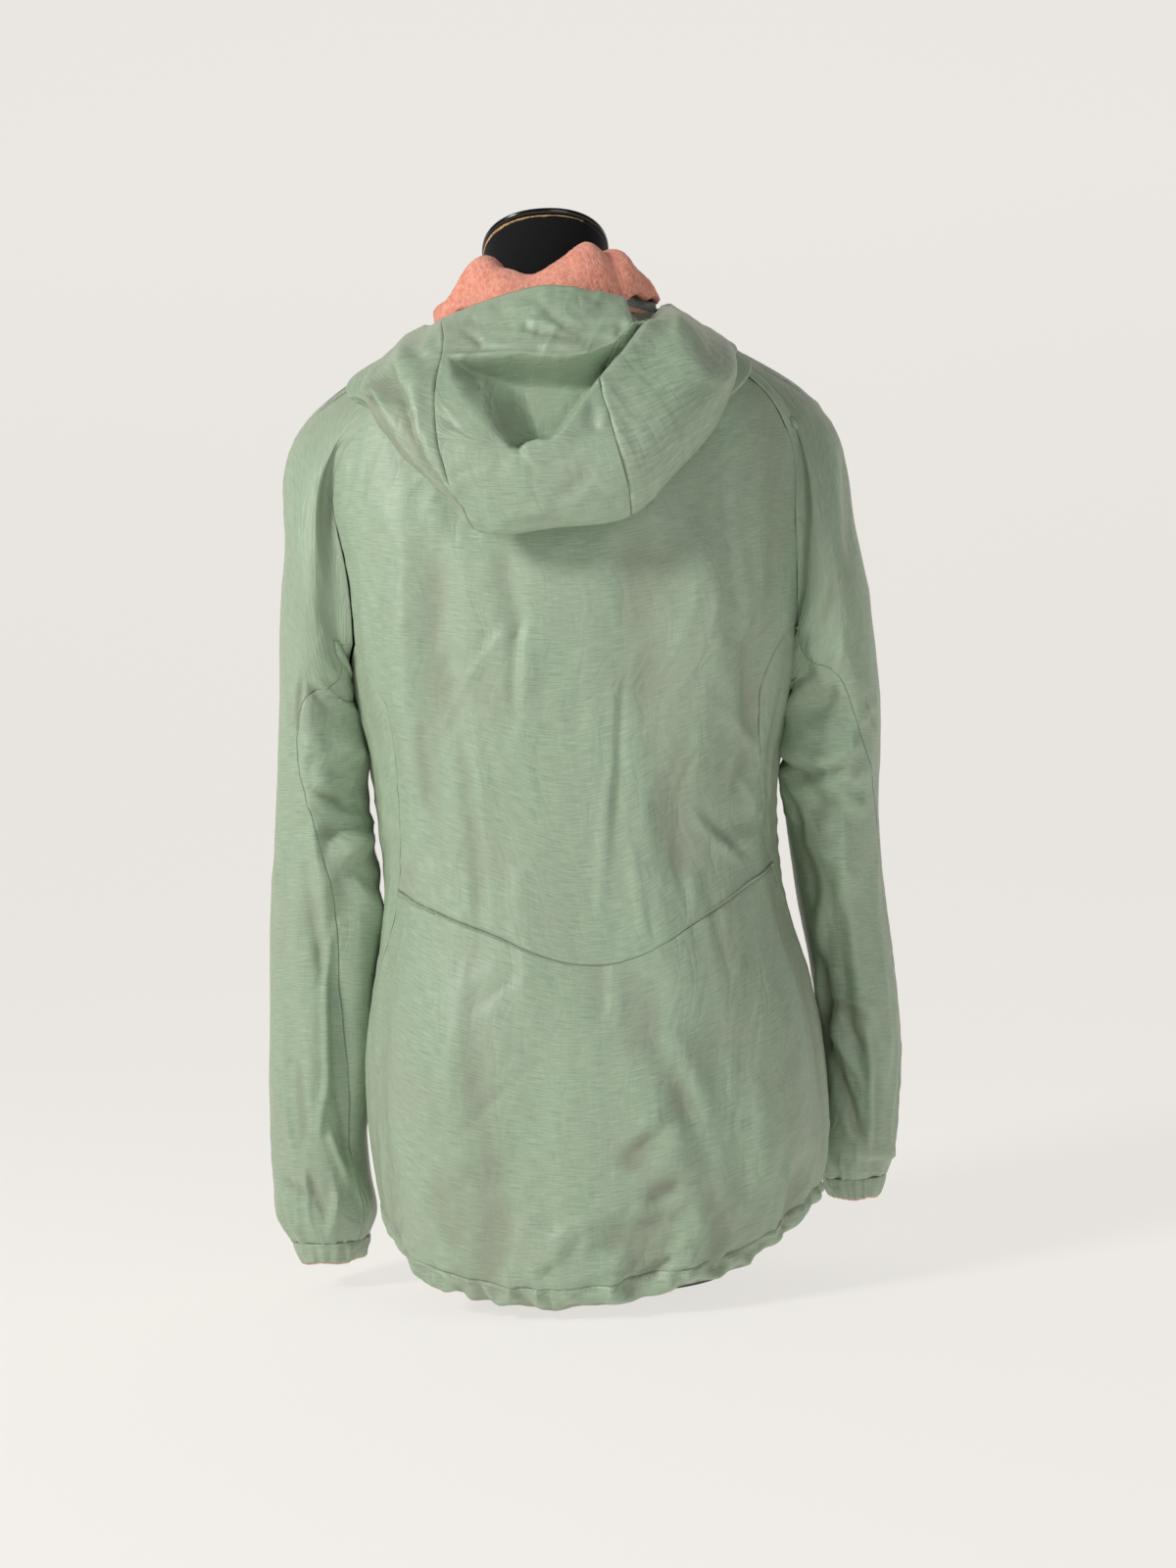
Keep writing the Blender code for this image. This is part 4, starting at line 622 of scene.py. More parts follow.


# the last colour of each cloth is the painted shade in the hollows of its folds
SHELL_CLOTH = woven("woven_polyester_shell", "#ABBEA5", "#8BA087", "#A0A393", "#858172")
BAND_CLOTH = woven("woven_neck_tape", "#96A292", "#828F80", "#8E9886", "#7A776C")
print("shell cloth: slubs", SLUB / THREAD, "times as long as a thread is wide")

# %% [markdown]
# Sherpa pile is knitted polyester teased into curls about 3 mm across. The curls themselves are modelled, so
# the material only adds the fuzz on them: a soft sheen, a finer bump, and a painted shade, deeper pink down between
# the curls, from the curl height that each piece stores as an attribute. Hair strands would be closer, but can't be
# exported.

# %% Pile and binding
def pile(name, tip, shade_between_curls):
    """Sherpa: pale at the tips of the curls, with a painted shade of deeper pink between them."""
    made = new_material(
        name, Roughness=0.92, Specular_IOR_Level=0.12, Sheen_Weight=0.45, Sheen_Roughness=0.6,
        Sheen_Tint=srgb("#FFD9CC"),
    )
    tree = made[1]
    place = add(tree, "TexCoord").outputs["Object"]
    curl = add(tree, "Attribute", attribute_name="curl").outputs["Fac"]
    fuzz = noise(tree, place, 650.0, 3.0)
    # painted shade: the colour deepens where the curls are low, down between them
    high = maths(tree, "MULTIPLY_ADD", fuzz, 0.90, curl)
    depth = blend(tree, ramp(tree, high, 0.50, 1.15), shade_between_curls, tip)
    patchy = ramp(tree, noise(tree, place, 45.0), 0.45, 0.8, 0.4)
    return finished(made, blend(tree, patchy, depth, "#EFA792"), fuzz, 0.9, 0.0010)


def ribbed(name, light, dark, pitch, rough):
    """Knitted or twilled narrow goods: binding, tape and thread."""
    made = new_material(name, Roughness=rough, Specular_IOR_Level=0.3, Sheen_Weight=0.15, Sheen_Roughness=0.5)
    tree = made[1]
    grain = noise(tree, add(tree, "TexCoord").outputs["Object"], 1 / pitch)
    return finished(made, blend(tree, ramp(tree, grain, 0.35, 0.65), dark, light), grain, 0.35, 0.0003)


# the second colour is the painted shade down between the curls
SHERPA = pile("sherpa_pile", "#FCB19B", "#E0836C")
BINDING = ribbed("lycra_binding", "#F9C2B0", "#E9A08C", 0.0010, 0.60)
TAPE = ribbed("zip_tape_twill", "#87967D", "#74836C", 0.0011, 0.70)
THREAD_GREEN = ribbed("sewing_thread", "#7C8E74", "#64755D", 0.0006, 0.55)
COIL = ribbed("nylon_coil", "#8B9A82", "#75846D", 0.0015, 0.38)
print("materials so far:", len(bpy.data.materials))

# %% [markdown]
# The form is covered in black cotton jersey, which drinks light. The cap on its neck is moulded plastic,
# polished and finely scratched. Where the jersey is glued under the cap, its edge has worn to a tan line.

# %% Form, cap and metal
def jersey(name):
    made = new_material(name, Roughness=0.85, Specular_IOR_Level=0.18, Sheen_Weight=0.12, Sheen_Roughness=0.4)
    tree = made[1]
    knit = noise(tree, add(tree, "TexCoord").outputs["Object"], 700.0)
    return finished(made, blend(tree, knit, "#0B0B0C", "#1A1A1C"), knit, 0.3, 0.0004)


def polished(name, colour, rough, metallic=0.0):
    """A smooth hard surface with fine scratches in its polish."""
    material, tree, shader = new_material(name, Metallic=metallic)
    place = add(tree, "TexCoord").outputs["Object"]
    marks = noise(tree, stretched(tree, place, (60.0, 60.0, 900.0)), detail=4.0)
    gloss = add(tree, "MapRange", {"Value": marks, "To Min": rough * 0.7, "To Max": rough * 1.5}).outputs[0]
    tree.links.new(blend(tree, marks, *colour), shader.inputs["Base Color"])
    tree.links.new(gloss, shader.inputs["Roughness"])
    return material


JERSEY = jersey("black_cotton_jersey")
CAP_GLOSS = polished("moulded_abs_cap", ("#0A0A0B", "#161617"), 0.16)
WORN_EDGE = ribbed("worn_jersey_edge", "#C9A978", "#8A6E48", 0.0016, 0.80)
ZINC = polished("plated_zinc", ("#A9A6A0", "#C9C6C0"), 0.26, 1.0)
print("materials in all, before the backdrop:", len(bpy.data.materials))

# %% [markdown]
# ## Wrinkles
#
# Worn cloth is never smooth. The big folds come from the tables. The small ones are uneven ridges: where a
# smooth random field crosses zero it draws a wandering line, and a ridge along that line looks like a
# crease. Stretching the field along a direction makes the creases run that way. A cloth simulation would
# give real creases, but not the ones in the photo, and not the same on every run.

# %% Random hills and creases
def hills(across, upward, seed):
    """Smooth random hills from -1 to 1, about one to each unit square."""
    table = np.random.default_rng(seed).uniform(-1.0, 1.0, (97, 89))
    column_low, row_low = np.floor(across).astype(int), np.floor(upward).astype(int)
    over, up = ease(across - column_low), ease(upward - row_low)

    def at(right, above):
        return table[(column_low + right) % 97, (row_low + above) % 89]

    low = at(0, 0) * (1 - over) + at(1, 0) * over
    high = at(0, 1) * (1 - over) + at(1, 1) * over
    return low * (1 - up) + high * up


def creases(across, upward, size, slant, stretch, seed, sharp=2.0):
    """Uneven ridges and valleys about one size apart, running at a slant (90 is upright)."""
    aim = math.radians(slant)
    run = across * math.cos(aim) + upward * math.sin(aim)
    side = -across * math.sin(aim) + upward * math.cos(aim)
    bend = hills(across / (4 * size), upward / (4 * size), seed + 1)
    field = hills(run / (size * stretch) + bend, side / size + 0.6 * bend, seed)
    ridge = (1.0 - np.abs(field)) ** sharp - 1.0 / (1.0 + sharp)
    return ridge * (0.55 + 0.45 * hills(run / (size * 3), side / (size * 3), seed + 2))


def drapes(across, upward, wide, long, seed):
    """Soft hanging folds, from -1 in a valley to 1 on a ridge, long and nearly upright."""
    bend = hills(across / (3 * wide), upward / (0.6 * long), seed + 1)
    return hills(across / wide + 0.9 * bend, upward / long, seed)


def run_on(folds, more=0.30):
    """The same folds carried on past both ends, so that those of one line run into each other."""
    longer = []
    for x0, z0, x1, z1, half, out in folds:
        over, up = more * (x1 - x0), more * (z1 - z0)
        longer.append((x0 - over, z0 - up, x1 + over, z1 + up, half, out))
    return longer


def gathers(run):
    """The gathers that an elastic makes along its run: uneven waves 11 mm apart, with finer ones of 6 mm."""
    bend = hills(run / 0.070, 0 * run, 41) * 1.6
    wide = 1.6 * hills(run / 0.011 + bend, 0 * run, 45)
    fine = 1.4 * hills(run / 0.006 + bend, 0 * run, 47)
    return (0.65 * wide + 0.35 * fine) * (0.7 + 0.5 * hills(run / 0.045, 0 * run, 43))

SAMPLE = hills(np.linspace(0.0, 90.0, 999), np.zeros(999), 1)
print("hills run from", round(float(SAMPLE.min()), 2), "to", round(float(SAMPLE.max()), 2))

# %% [markdown]
# The body's creases follow how it hangs. It is smooth over the shoulder blades, slack and crumpled above the
# gathered hem, and pulled into short sideways creases at the waist beside the side seams.

# %% Creases of the body
# Smaller folds of the back, in degrees and mm: turn and height of each end, half width, stand-out.
BODY_CREASES = (
    (-27.4, 560, -34.4, 446, 16, -2.8), (-34.4, 446, -40.5, 324, 14, -2.1), (-21.3, 558, -24.4, 473, 12, 1.7),
    (-34.5, 561, -41.1, 459, 10, 1.4), (-11.5, 556, -10.5, 501, 8, -3), (-9.6, 500, -12.4, 445, 3.5, -3),
    (-9.9, 502, -27.5, 449, 3, 1.6), (-8.1, 494, -9.7, 450, 6, 2), (12.2, 551, 14.2, 453, 20, -3.1),
    (14.2, 453, 23.6, 367, 22, -2.4), (23.6, 367, 25.6, 316, 18, -2.1), (27.7, 550, 36.3, 457, 14, 2.1),
    (36.3, 457, 49.8, 401, 10, 1.7), (40.4, 488, 52.2, 422, 9, -2.1), (2.6, 553, 3.1, 370, 22, 2.1),
    (7.6, 454, 7.7, 390, 3, 1.4), (7, 390, 3.1, 301, 3.5, 1.6), (9.1, 446, 8.3, 349, 4, -1.4),
    (11.6, 328, 12.2, 271, 4, 1.4), (-27.3, 399, -26.8, 293, 6, -1.8), (-39.6, 434, -42.5, 370, 7, -2),
    (-7.9, 447, -14.7, 424, 3.5, -0.9), (1.7, 447, -0.1, 424, 3.5, -0.8), (34.7, 355, 49.1, 327, 4.5, -1.5),
    (31.6, 352, 47.3, 321, 4.5, 1.4), (57.9, 340, 40.2, 326, 4, 1), (35, 435, 55.4, 405, 4.5, 1.5),
    (50.9, 405, 46, 375, 6, -1.8), (48.4, 381, 58.3, 357, 4.5, 1.2), (-29.8, 275, -27.3, 174, 12, -1.8),
    (-27.3, 174, -24.1, 105, 14, -1.8), (-25.6, 105, -26.5, 33, 14, -2.4), (-20, 166, -31.2, 138, 3.5, -1.3),
    (-16.3, 247, -25.7, 226, 4, -0.9), (1.9, 249, 1.7, 213, 5, -2.2), (3.3, 246, 3.1, 210, 5, 1.6),
    (11, 241, 11.1, 195, 14, -2.4), (11.1, 195, 18.4, 151, 12, -2.2), (18.4, 151, 24.4, 85, 10, -2.2),
    (15.8, 200, 21.3, 154, 8, 2.2), (24.1, 150, 28.5, 79, 10, 1), (37.3, 154, 41.4, 91, 14, 2.4),
    (33.1, 196, 35.1, 134, 10, -1.4), (11.8, 143, 5.6, 126, 5, 2.4), (9.2, 131, 5.5, 106, 8, -4),
    (16.9, 133, 16.3, 99, 12, 3.1), (15.7, 93, 9.2, 83, 6, -2.5), (3.8, 82, 0.5, 70, 4.5, 2.2),
    (2.4, 66, 4.2, 45, 10, -2.7), (-1.9, 73, -13.3, 41, 6, 3), (-11.7, 72, -5.4, 59, 4.5, -1.5),
    (-9.2, 51, -2.8, 36, 4.5, -1.6), (-9.9, 37, -15, 25, 4.5, -1.8), (-1.5, 25, 4.4, 41, 5, 2),
    (-17.9, 99, -11.7, 109, 3.5, 0.9), (-15.3, 93, -8.7, 98, 3.5, -0.9), (-30.1, 109, -36.1, 90, 4.5, -1.2),
    (-46.5, 99, -39.2, 84, 4.5, -1), (-45.1, 87, -38.3, 51, 10, -1.4), (-50.2, 111, -39.3, 117, 4, 1),
    (8.2, 65, 17.5, 66, 4.5, -1.4), (11.9, 76, 20.7, 82, 4.5, 1.4), (24.5, 81, 29.8, 44, 6, -2),
    (20.7, 35, 27.4, 22, 4.5, 2.5), (10, 29, 16.1, 36, 4.5, -1.8), (50.1, 94, 48.6, 41, 4, 3),
    (56, 86, 54.5, 39, 9, -2.8), (-84, 360, -84, 140, 20, 1.4), (84, 460, 84, 330, 18, 1.2),
)
BODY_DEPTH = 1.3  # the table's depths were read off a soft light, which flattens them
print("body creases placed by hand:", len(BODY_CREASES))


def body_creases(turn, height):
    """How far the small folds of the body stand out."""
    across = np.radians(turn) * BODY_RADIUS
    slack = ease((0.170 - height) / 0.13)
    low = ease((0.095 - height) / 0.06)
    waist = ease((np.abs(turn) - 34.0) / 25.0) * np.exp(-(((height - 0.345) / 0.070) ** 2))
    out = BODY_DEPTH * fold_relief(run_on(on_cloth(BODY_CREASES, BODY_RADIUS)), across, height)
    out += 0.0024 * drapes(across, height, 0.030, 0.30, 21) + 0.0009 * drapes(across, height, 0.013, 0.14, 25)
    out += 0.0042 * slack * creases(across, height, 0.020, 66.0, 3.6, 3)
    out += 0.0052 * low * creases(across, height, 0.012, 32.0, 3.4, 7)
    out += 0.0022 * waist * creases(across, height, 0.013, 12.0, 4.0, 11)
    out += 0.0018 * creases(across, height, 0.036, 80.0, 6.0, 15)
    out += 0.0010 * creases(across, height, 0.012, 65.0, 4.0, 19)
    above = height - hem_height(turn) - CASING_TALL
    out += 0.0018 * np.exp(-np.maximum(above, 0.0) / 0.018) * gathers(across)
    return out * ease((neckline(turn) - height) / NECK_PLAIN)


# %% [markdown]
# ## Making a piece of cloth
#
# A grid from Blender's own operator gives the faces and an even UV map. Its points are then moved onto the
# surface and the UV map is stretched to real metres, so that the weave runs straight along each panel.
# Solidify gives the wall its thickness, inwards, so the outer face stays where it was worked out.

# %% From a grid of points to a piece
def placed(name, data):
    """A new object in the scene, at the origin."""
    thing = bpy.data.objects.new(name, data)
    bpy.context.scene.collection.objects.link(thing)
    return thing


def faced_out(mesh, filled=False):
    """Turns a closed mesh's faces outwards, after filling its open ends."""
    open_mesh = bmesh.new()
    open_mesh.from_mesh(mesh)
    if filled:
        ends = [edge for edge in open_mesh.edges if edge.is_boundary]
        bmesh.ops.holes_fill(open_mesh, edges=ends, sides=0)
    bmesh.ops.recalc_face_normals(open_mesh, faces=open_mesh.faces)
    open_mesh.to_mesh(mesh)
    open_mesh.free()


def cloth_lengths(points):
    """How far along the cloth each point lies, across and up, in metres."""
    across = np.linalg.norm(np.diff(points, axis=1), axis=2)
    across = np.concatenate([np.zeros((len(points), 1)), np.cumsum(across, axis=1)], axis=1)
    across -= across[:, across.shape[1] // 2, None]
    return across, run_of(points, over=1)[:, None] + 0 * across


def cloth_piece(name, points, facing, materials, thick=SHELL, closed=False, curl=None, stands=None, plain_from=None):
    """A sheet of cloth through a grid of points, with its UV map in metres of cloth."""
    rows, columns = points.shape[:2]
    grid = bmesh.new()
    grid.loops.layers.uv.new("cloth")
    bmesh.ops.create_grid(grid, x_segments=columns - 1, y_segments=rows - 1, size=1.0, calc_uvs=True)
    mesh = bpy.data.meshes.new(name)
    grid.to_mesh(mesh)
    grid.free()
    flat = np.empty(len(mesh.vertices) * 3)
    mesh.vertices.foreach_get("co", flat)
    flat = (flat.reshape(-1, 3) + 1) / 2
    over = np.rint(flat[:, 0] * (columns - 1)).astype(int)
    up = np.rint(flat[:, 1] * (rows - 1)).astype(int)
    mesh.vertices.foreach_set("co", points[up, over].ravel())
    corner = np.empty(len(mesh.loops), int)
    mesh.loops.foreach_get("vertex_index", corner)
    across, upward = cloth_lengths(points)
    lengths = np.stack([across[up, over], upward[up, over]], axis=1)[corner]
    mesh.uv_layers["cloth"].data.foreach_set("uv", lengths.ravel())
    if curl is not None:
        mesh.attributes.new("curl", "FLOAT", "POINT").data.foreach_set("value", curl[up, over])
    # the stand-out in mm, which the shell's material reads to paint shade into the hollows of the folds
    if stands is not None:
        mesh.attributes.new("stands", "FLOAT", "POINT").data.foreach_set("value", stands[up, over] / MILLIMETRE)
    tidy = bmesh.new()
    tidy.from_mesh(mesh)
    if closed:
        bmesh.ops.remove_doubles(tidy, verts=tidy.verts, dist=1e-6)
    tidy.normal_update()
    probe = facing.reshape(-1, 3)
    tidy.faces.ensure_lookup_table()
    face = tidy.faces[len(tidy.faces) // 2]
    nearest = np.argmin(((points.reshape(-1, 3) - np.array(face.calc_center_median())) ** 2).sum(axis=1))
    if np.dot(np.array(face.normal), probe[nearest]) < 0:
        bmesh.ops.reverse_faces(tidy, faces=tidy.faces)
    tidy.to_mesh(mesh)
    tidy.free()
    mesh.shade_smooth()
    piece = placed(name, mesh)
    for material in materials:
        mesh.materials.append(material)
    if plain_from is not None:
        rows_of = up[np.array([face.vertices[0] for face in mesh.polygons])]
        mesh.polygons.foreach_set("material_index", np.where(rows_of < plain_from, 0, 2).astype(np.int32))
    if thick:
        wall = piece.modifiers.new("wall", "SOLIDIFY")
        wall.thickness = thick
        wall.offset = -1.0
        wall.material_offset = len(materials) - 1
    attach(piece, "jacket")
    return piece


def flat_size(plain):
    """What the piece was cut from: the width and length of its plain surface, and its area."""
    across, upward = cloth_lengths(plain)
    wide = float((across[:, -1] - across[:, 0]).max())
    a, b = plain[1:, :-1] - plain[:-1, :-1], plain[:-1, 1:] - plain[:-1, :-1]
    area = float(np.linalg.norm(np.cross(a, b), axis=2).sum())
    return wide, float(upward[-1, 0]), area


def declare(piece, plain, spare=1.0, level_from=0):
    """Prints the size that the piece was cut from: its plain surface, with its spare for gathers."""
    wide, long, area = flat_size(plain)
    wide = flat_size(plain[level_from:])[0]
    wide, long, area = wide * spare, max(long, 0.0101), area * spare
    area = min(area, wide * long)
    print(f"{piece.name}: cut from {wide:.3f} x {long:.3f} m, area {area:.4f} m2")


def seam_roll(shape, deep=0.0005):
    """How far the cloth sinks at its edges, where it turns down into a seam."""
    sink = np.zeros(shape)
    sink[1] = sink[-2] = sink[:, 1] = sink[:, -2] = 0.1 * deep
    sink[0] = sink[-1] = sink[:, 0] = sink[:, -1] = deep
    return sink


def pucker(across, upward, seed):
    """Small puckers beside a seam, where the thread draws up the cloth."""
    reach = np.minimum(across - across.min(axis=1, keepdims=True), across.max(axis=1, keepdims=True) - across)
    wave = hills(upward / 0.0075, across / 0.03, seed)
    return 0.00055 * np.exp(-reach / 0.010) * wave


# %% [markdown]
# ## Back, sides and fronts
#
# Each panel fills the space between its four seams. Panels meet point to point, 0.1 mm apart, where the solids
# stand 0.3 mm apart, and turn down into the seam between them.

# %% Panels of the body
def body_panel(name, places, replaced, seed):
    plain, normal = body_cloth(places[..., 0], places[..., 1])
    across, upward = cloth_lengths(plain)
    relief = body_creases(places[..., 0], places[..., 1]) - seam_roll(plain.shape[:2])
    relief += pucker(across, upward, seed)
    points = trimmed(plain + relief[..., None] * normal)
    piece = cloth_piece(name, points, normal, [SHELL_CLOTH], stands=relief)
    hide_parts(replaced)
    declare(piece, plain)
    return piece


def to_hem(places, marks):
    """Moves a side seam's foot onto the top of the hem casing."""
    places[:, 1] += (1 - marks) * (hem_top(places[:1, 0])[0, 1] - places[0, 1])
    return places


HEM_UP, WAIST_UP = steps(ROWS_HEM, 0.24), steps(ROWS_WAIST, 0.2, end=False)
RAGLAN_UP = steps(ROWS_RAGLAN, 0.3, start=False)
BACK_OVER = steps(COLUMNS_BACK, 0.35)
low_left, low_right = (to_hem(seam(SIDE_BACK_LOWER, side, HEM_UP), HEM_UP) for side in (-1, 1))
turns = low_left[0, 0] + BACK_OVER * (low_right[0, 0] - low_left[0, 0])
bottom = hem_top(turns)
turns = WAIST[0][0] + BACK_OVER * (WAIST[-1][0] - WAIST[0][0])
waist_line = level(turns, read(WAIST, turns)[:, 0])
low_left[-1], low_right[-1] = waist_line[0], waist_line[-1]
body_panel("back_lower_cloth", patch(low_left, low_right, bottom, waist_line, HEM_UP, BACK_OVER), "back_lower", 51)

left, right = (
    np.concatenate([seam(SIDE_BACK_UPPER, side, WAIST_UP), seam(RAGLAN_BACK[::-1], side, RAGLAN_UP)[1:]])
    for side in (-1, 1)
)
left[0], right[0] = waist_line[0], waist_line[-1]
turns = left[-1, 0] + BACK_OVER * (right[-1, 0] - left[-1, 0])
neck_line = level(turns, neckline(turns))
left[-1], right[-1] = neck_line[0], neck_line[-1]
up = np.concatenate([WAIST_UP * ROWS_WAIST, ROWS_WAIST + RAGLAN_UP[1:] * ROWS_RAGLAN]) / (ROWS_WAIST + ROWS_RAGLAN)
body_panel("back_upper_cloth", patch(left, right, waist_line, neck_line, up, BACK_OVER), "back_upper", 53)


# %% Side panels and fronts
def side_line(lower, upper, side, marks_low, marks_high):
    """A side seam from hem to armhole."""
    low = to_hem(seam(lower, side, marks_low), marks_low)
    return np.concatenate([low, seam(upper, side, marks_high)[1:]])


def side_panel(side, word):
    low_up, high_up = steps(ROWS_HEM, 0.24, end=False), steps(ROWS_WAIST, 0.2, start=False)
    rear = side_line(SIDE_BACK_LOWER, SIDE_BACK_UPPER, side, low_up, high_up)
    fore = side_line(SIDE_FRONT_LOWER, SIDE_FRONT_UPPER, side, low_up, high_up)
    over = steps(COLUMNS_SIDE, 0.12)
    bottom = hem_top(rear[0, 0] + over * (fore[0, 0] - rear[0, 0]))
    top = seam(ARMHOLE, side, over)
    up = np.concatenate([low_up * ROWS_HEM, ROWS_HEM + high_up[1:] * ROWS_WAIST]) / (ROWS_HEM + ROWS_WAIST)
    body_panel(f"side_{word}_cloth", patch(rear, fore, bottom, top, up, over), f"side_{word}", 55 + side)


def front_panel(side, word):
    low_up = steps(ROWS_HEM, 0.24, end=False)
    high_up = steps(ROWS_WAIST, 0.2, start=False, end=False)
    outer = side_line(SIDE_FRONT_LOWER, SIDE_FRONT_UPPER, side, low_up, high_up)
    outer = np.concatenate([outer, seam(RAGLAN_FRONT[::-1], side, RAGLAN_UP)[1:]])
    counts = ROWS_HEM, ROWS_WAIST, ROWS_RAGLAN
    up = np.concatenate([
        low_up * counts[0], counts[0] + high_up[1:] * counts[1], sum(counts[:2]) + RAGLAN_UP[1:] * counts[2]
    ]) / sum(counts)
    low, high = hem_top(np.array([side * 178.0]))[0, 1], neckline(side * 176.0)
    inner = zip_edge(side, low + up * (high - low))
    over = steps(COLUMNS_FRONT, 0.15)
    bottom = hem_top(outer[0, 0] + over * (inner[0, 0] - outer[0, 0]))
    turns = outer[-1, 0] + over * (inner[-1, 0] - outer[-1, 0])
    top = level(turns, neckline(turns))
    outer[-1], inner[-1], inner[0] = top[0], top[-1], bottom[-1]
    body_panel(f"front_{word}_cloth", patch(outer, inner, bottom, top, up, over), f"front_{word}", 59 + side)


for hand, word in ((-1, "left"), (1, "right")):
    side_panel(hand, word)
    front_panel(hand, word)

# %% [markdown]
# ## Hem casing
#
# The lower edge is a folded casing with elastic run through it. The elastic draws the cloth into uneven
# gathers, which stand out most at the middle of the casing and carry on a little way into the panels above.

# %% Gathered hem
HEM_ACROSS, HEM_ROWS, HEM_STITCH_ROW = 560, 15, 12


def hem_casing():
    end = zip_edge(1, np.array([HEM_AT_ZIP]))[0, 0]
    turns = np.linspace(-end, end, HEM_ACROSS)[None, :]
    share = np.linspace(0.0, 1.0, HEM_ROWS)[:, None]
    run = np.radians(turns) * BODY_RADIUS
    foot = hem_height(turns) + 0.0024 * hills(run / 0.016, 0 * run, 61) + 0.0018 * hills(run / 0.035, 0 * run, 62)
    top = hem_height(turns) + CASING_TALL - 0.0001
    turns, height = turns + 0 * share, foot + share * (top - foot)
    plain, normal = body_cloth(turns, height)
    low = 1 - share
    bulge = 0.0018 * np.sin(math.pi * share) ** 0.7
    drift = gathers(run + 0.0030 * share) * (0.3 + 0.6 * np.sin(math.pi * share) + 0.8 * low) * 0.0009
    relief = bulge + drift - 0.0030 * low**3 + body_creases(turns, top + 0 * turns) * share
    relief = relief + 0.0038 * hills(run / 0.014, share * 1.0, 63) * low
    relief = relief + 0.0036 * hills(run / 0.0070 + share, share * 1.6, 65) * np.sin(math.pi * share) ** 0.5
    relief[-1] -= 0.0008
    points = plain + relief[..., None] * normal
    tuck = points[-1:] + (0, 0, 0.0040) - 0.0030 * normal[-1:]
    points = np.concatenate([points, tuck])
    plain, normal = np.concatenate([plain, tuck]), np.concatenate([normal, normal[-1:]])
    relief = np.concatenate([relief, relief[-1:]])
    piece = cloth_piece("hem_casing_cloth", points, normal, [SHELL_CLOTH], stands=relief)
    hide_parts("hem_casing")
    declare(piece, plain, spare=1.12)
    return points, normal


HEM_POINTS, HEM_NORMAL = hem_casing()

# %% [markdown]
# ## Sleeves
#
# A sleeve is a stack of rings: the first is the armhole itself, then two slanting sections round the
# shoulder, then level ones down the empty, hanging arm. The cloth leaves the armhole square to the body
# under the arm and follows the body over the shoulder.

# %% Rings of a sleeve
def armhole_ring(side):
    """Where a sleeve meets the body, as turn and height, and the places where its parts end."""
    fore = seam(RAGLAN_FRONT[::-1], side, steps(ROWS_RAGLAN, 0.3, end=False))
    rear = seam(RAGLAN_BACK, side, steps(ROWS_RAGLAN, 0.3, start=False))
    fore[-1, 1], rear[0, 1] = neckline(fore[-1, 0]), neckline(rear[0, 0])
    turns = np.linspace(fore[-1, 0], rear[0, 0], COLUMNS_NECK * FINE + 1)
    neck = level(turns, neckline(turns))
    under = seam(ARMHOLE, side, steps(COLUMNS_SIDE, 0.14))
    split = len(fore) + len(neck) + len(rear) - 3
    return np.concatenate([fore, neck[1:], rear[1:], under[1:]]), len(fore) + len(neck) // 2 - 1, split


def sleeve_rings(side, word):
    ring, neck_middle, split = armhole_ring(side)
    start, normal = body_cloth(ring[:, 0], ring[:, 1])
    round_it = np.gradient(start, axis=0)
    round_it[0] = round_it[-1] = start[1] - start[-2]
    inward = unit(np.cross(normal, unit(round_it))) * side
    lift = np.radians(80.0) * ease((0.66 - ring[:, 1]) / 0.19)[:, None]
    leave = inward * np.cos(lift) + normal * np.sin(lift)
    facing = normal * np.cos(lift) - inward * np.sin(lift)
    start = start + inward * SEAM_GAP / 2

    share = run_of(body_surface(*ring[: split + 1].T))
    middle = share[neck_middle]
    share = np.where(share < middle, share / middle - 1.0, (share - middle) / (share[-1] - middle))
    under = steps(COLUMNS_SIDE, 0.14)[1:]

    def turns(rear, fore):
        over = np.where(share > 0, share * rear, share * fore)
        return np.radians(np.concatenate([over, rear + under * (360.0 - rear - fore)]))

    rings = [start]
    for out0, top, out1, low, deep in SLEEVE_HEAD[word]:
        angle = turns(HEAD_SEAM, HEAD_SEAM)
        out = (out0 + out1) / 2 + (out0 - out1) / 2 * np.cos(angle)
        high = (top + low) / 2 + (top - low) / 2 * np.cos(angle)
        rings.append(np.stack([side * out, 0.004 - deep * np.sin(angle), high], axis=1))
    for height, near, far, fore, deep, rear_seam, fore_seam in SLEEVE[word]:
        angle = turns(rear_seam, fore_seam)
        out = (near + far) / 2 + (far - near) / 2 * np.cos(angle)
        rings.append(np.stack([side * out, fore - deep * np.sin(angle), 0 * out + height], axis=1))
    return np.array(rings), leave, facing, split

print("rings and points of a sleeve:", sleeve_rings(-1, "left")[0].shape[:2])

# %% [markdown]
# The sleeves crease most at the elbow, where slanting folds stack up on the inner side, and hang in long
# soft folds below it. The two differ, as they do in the photo.

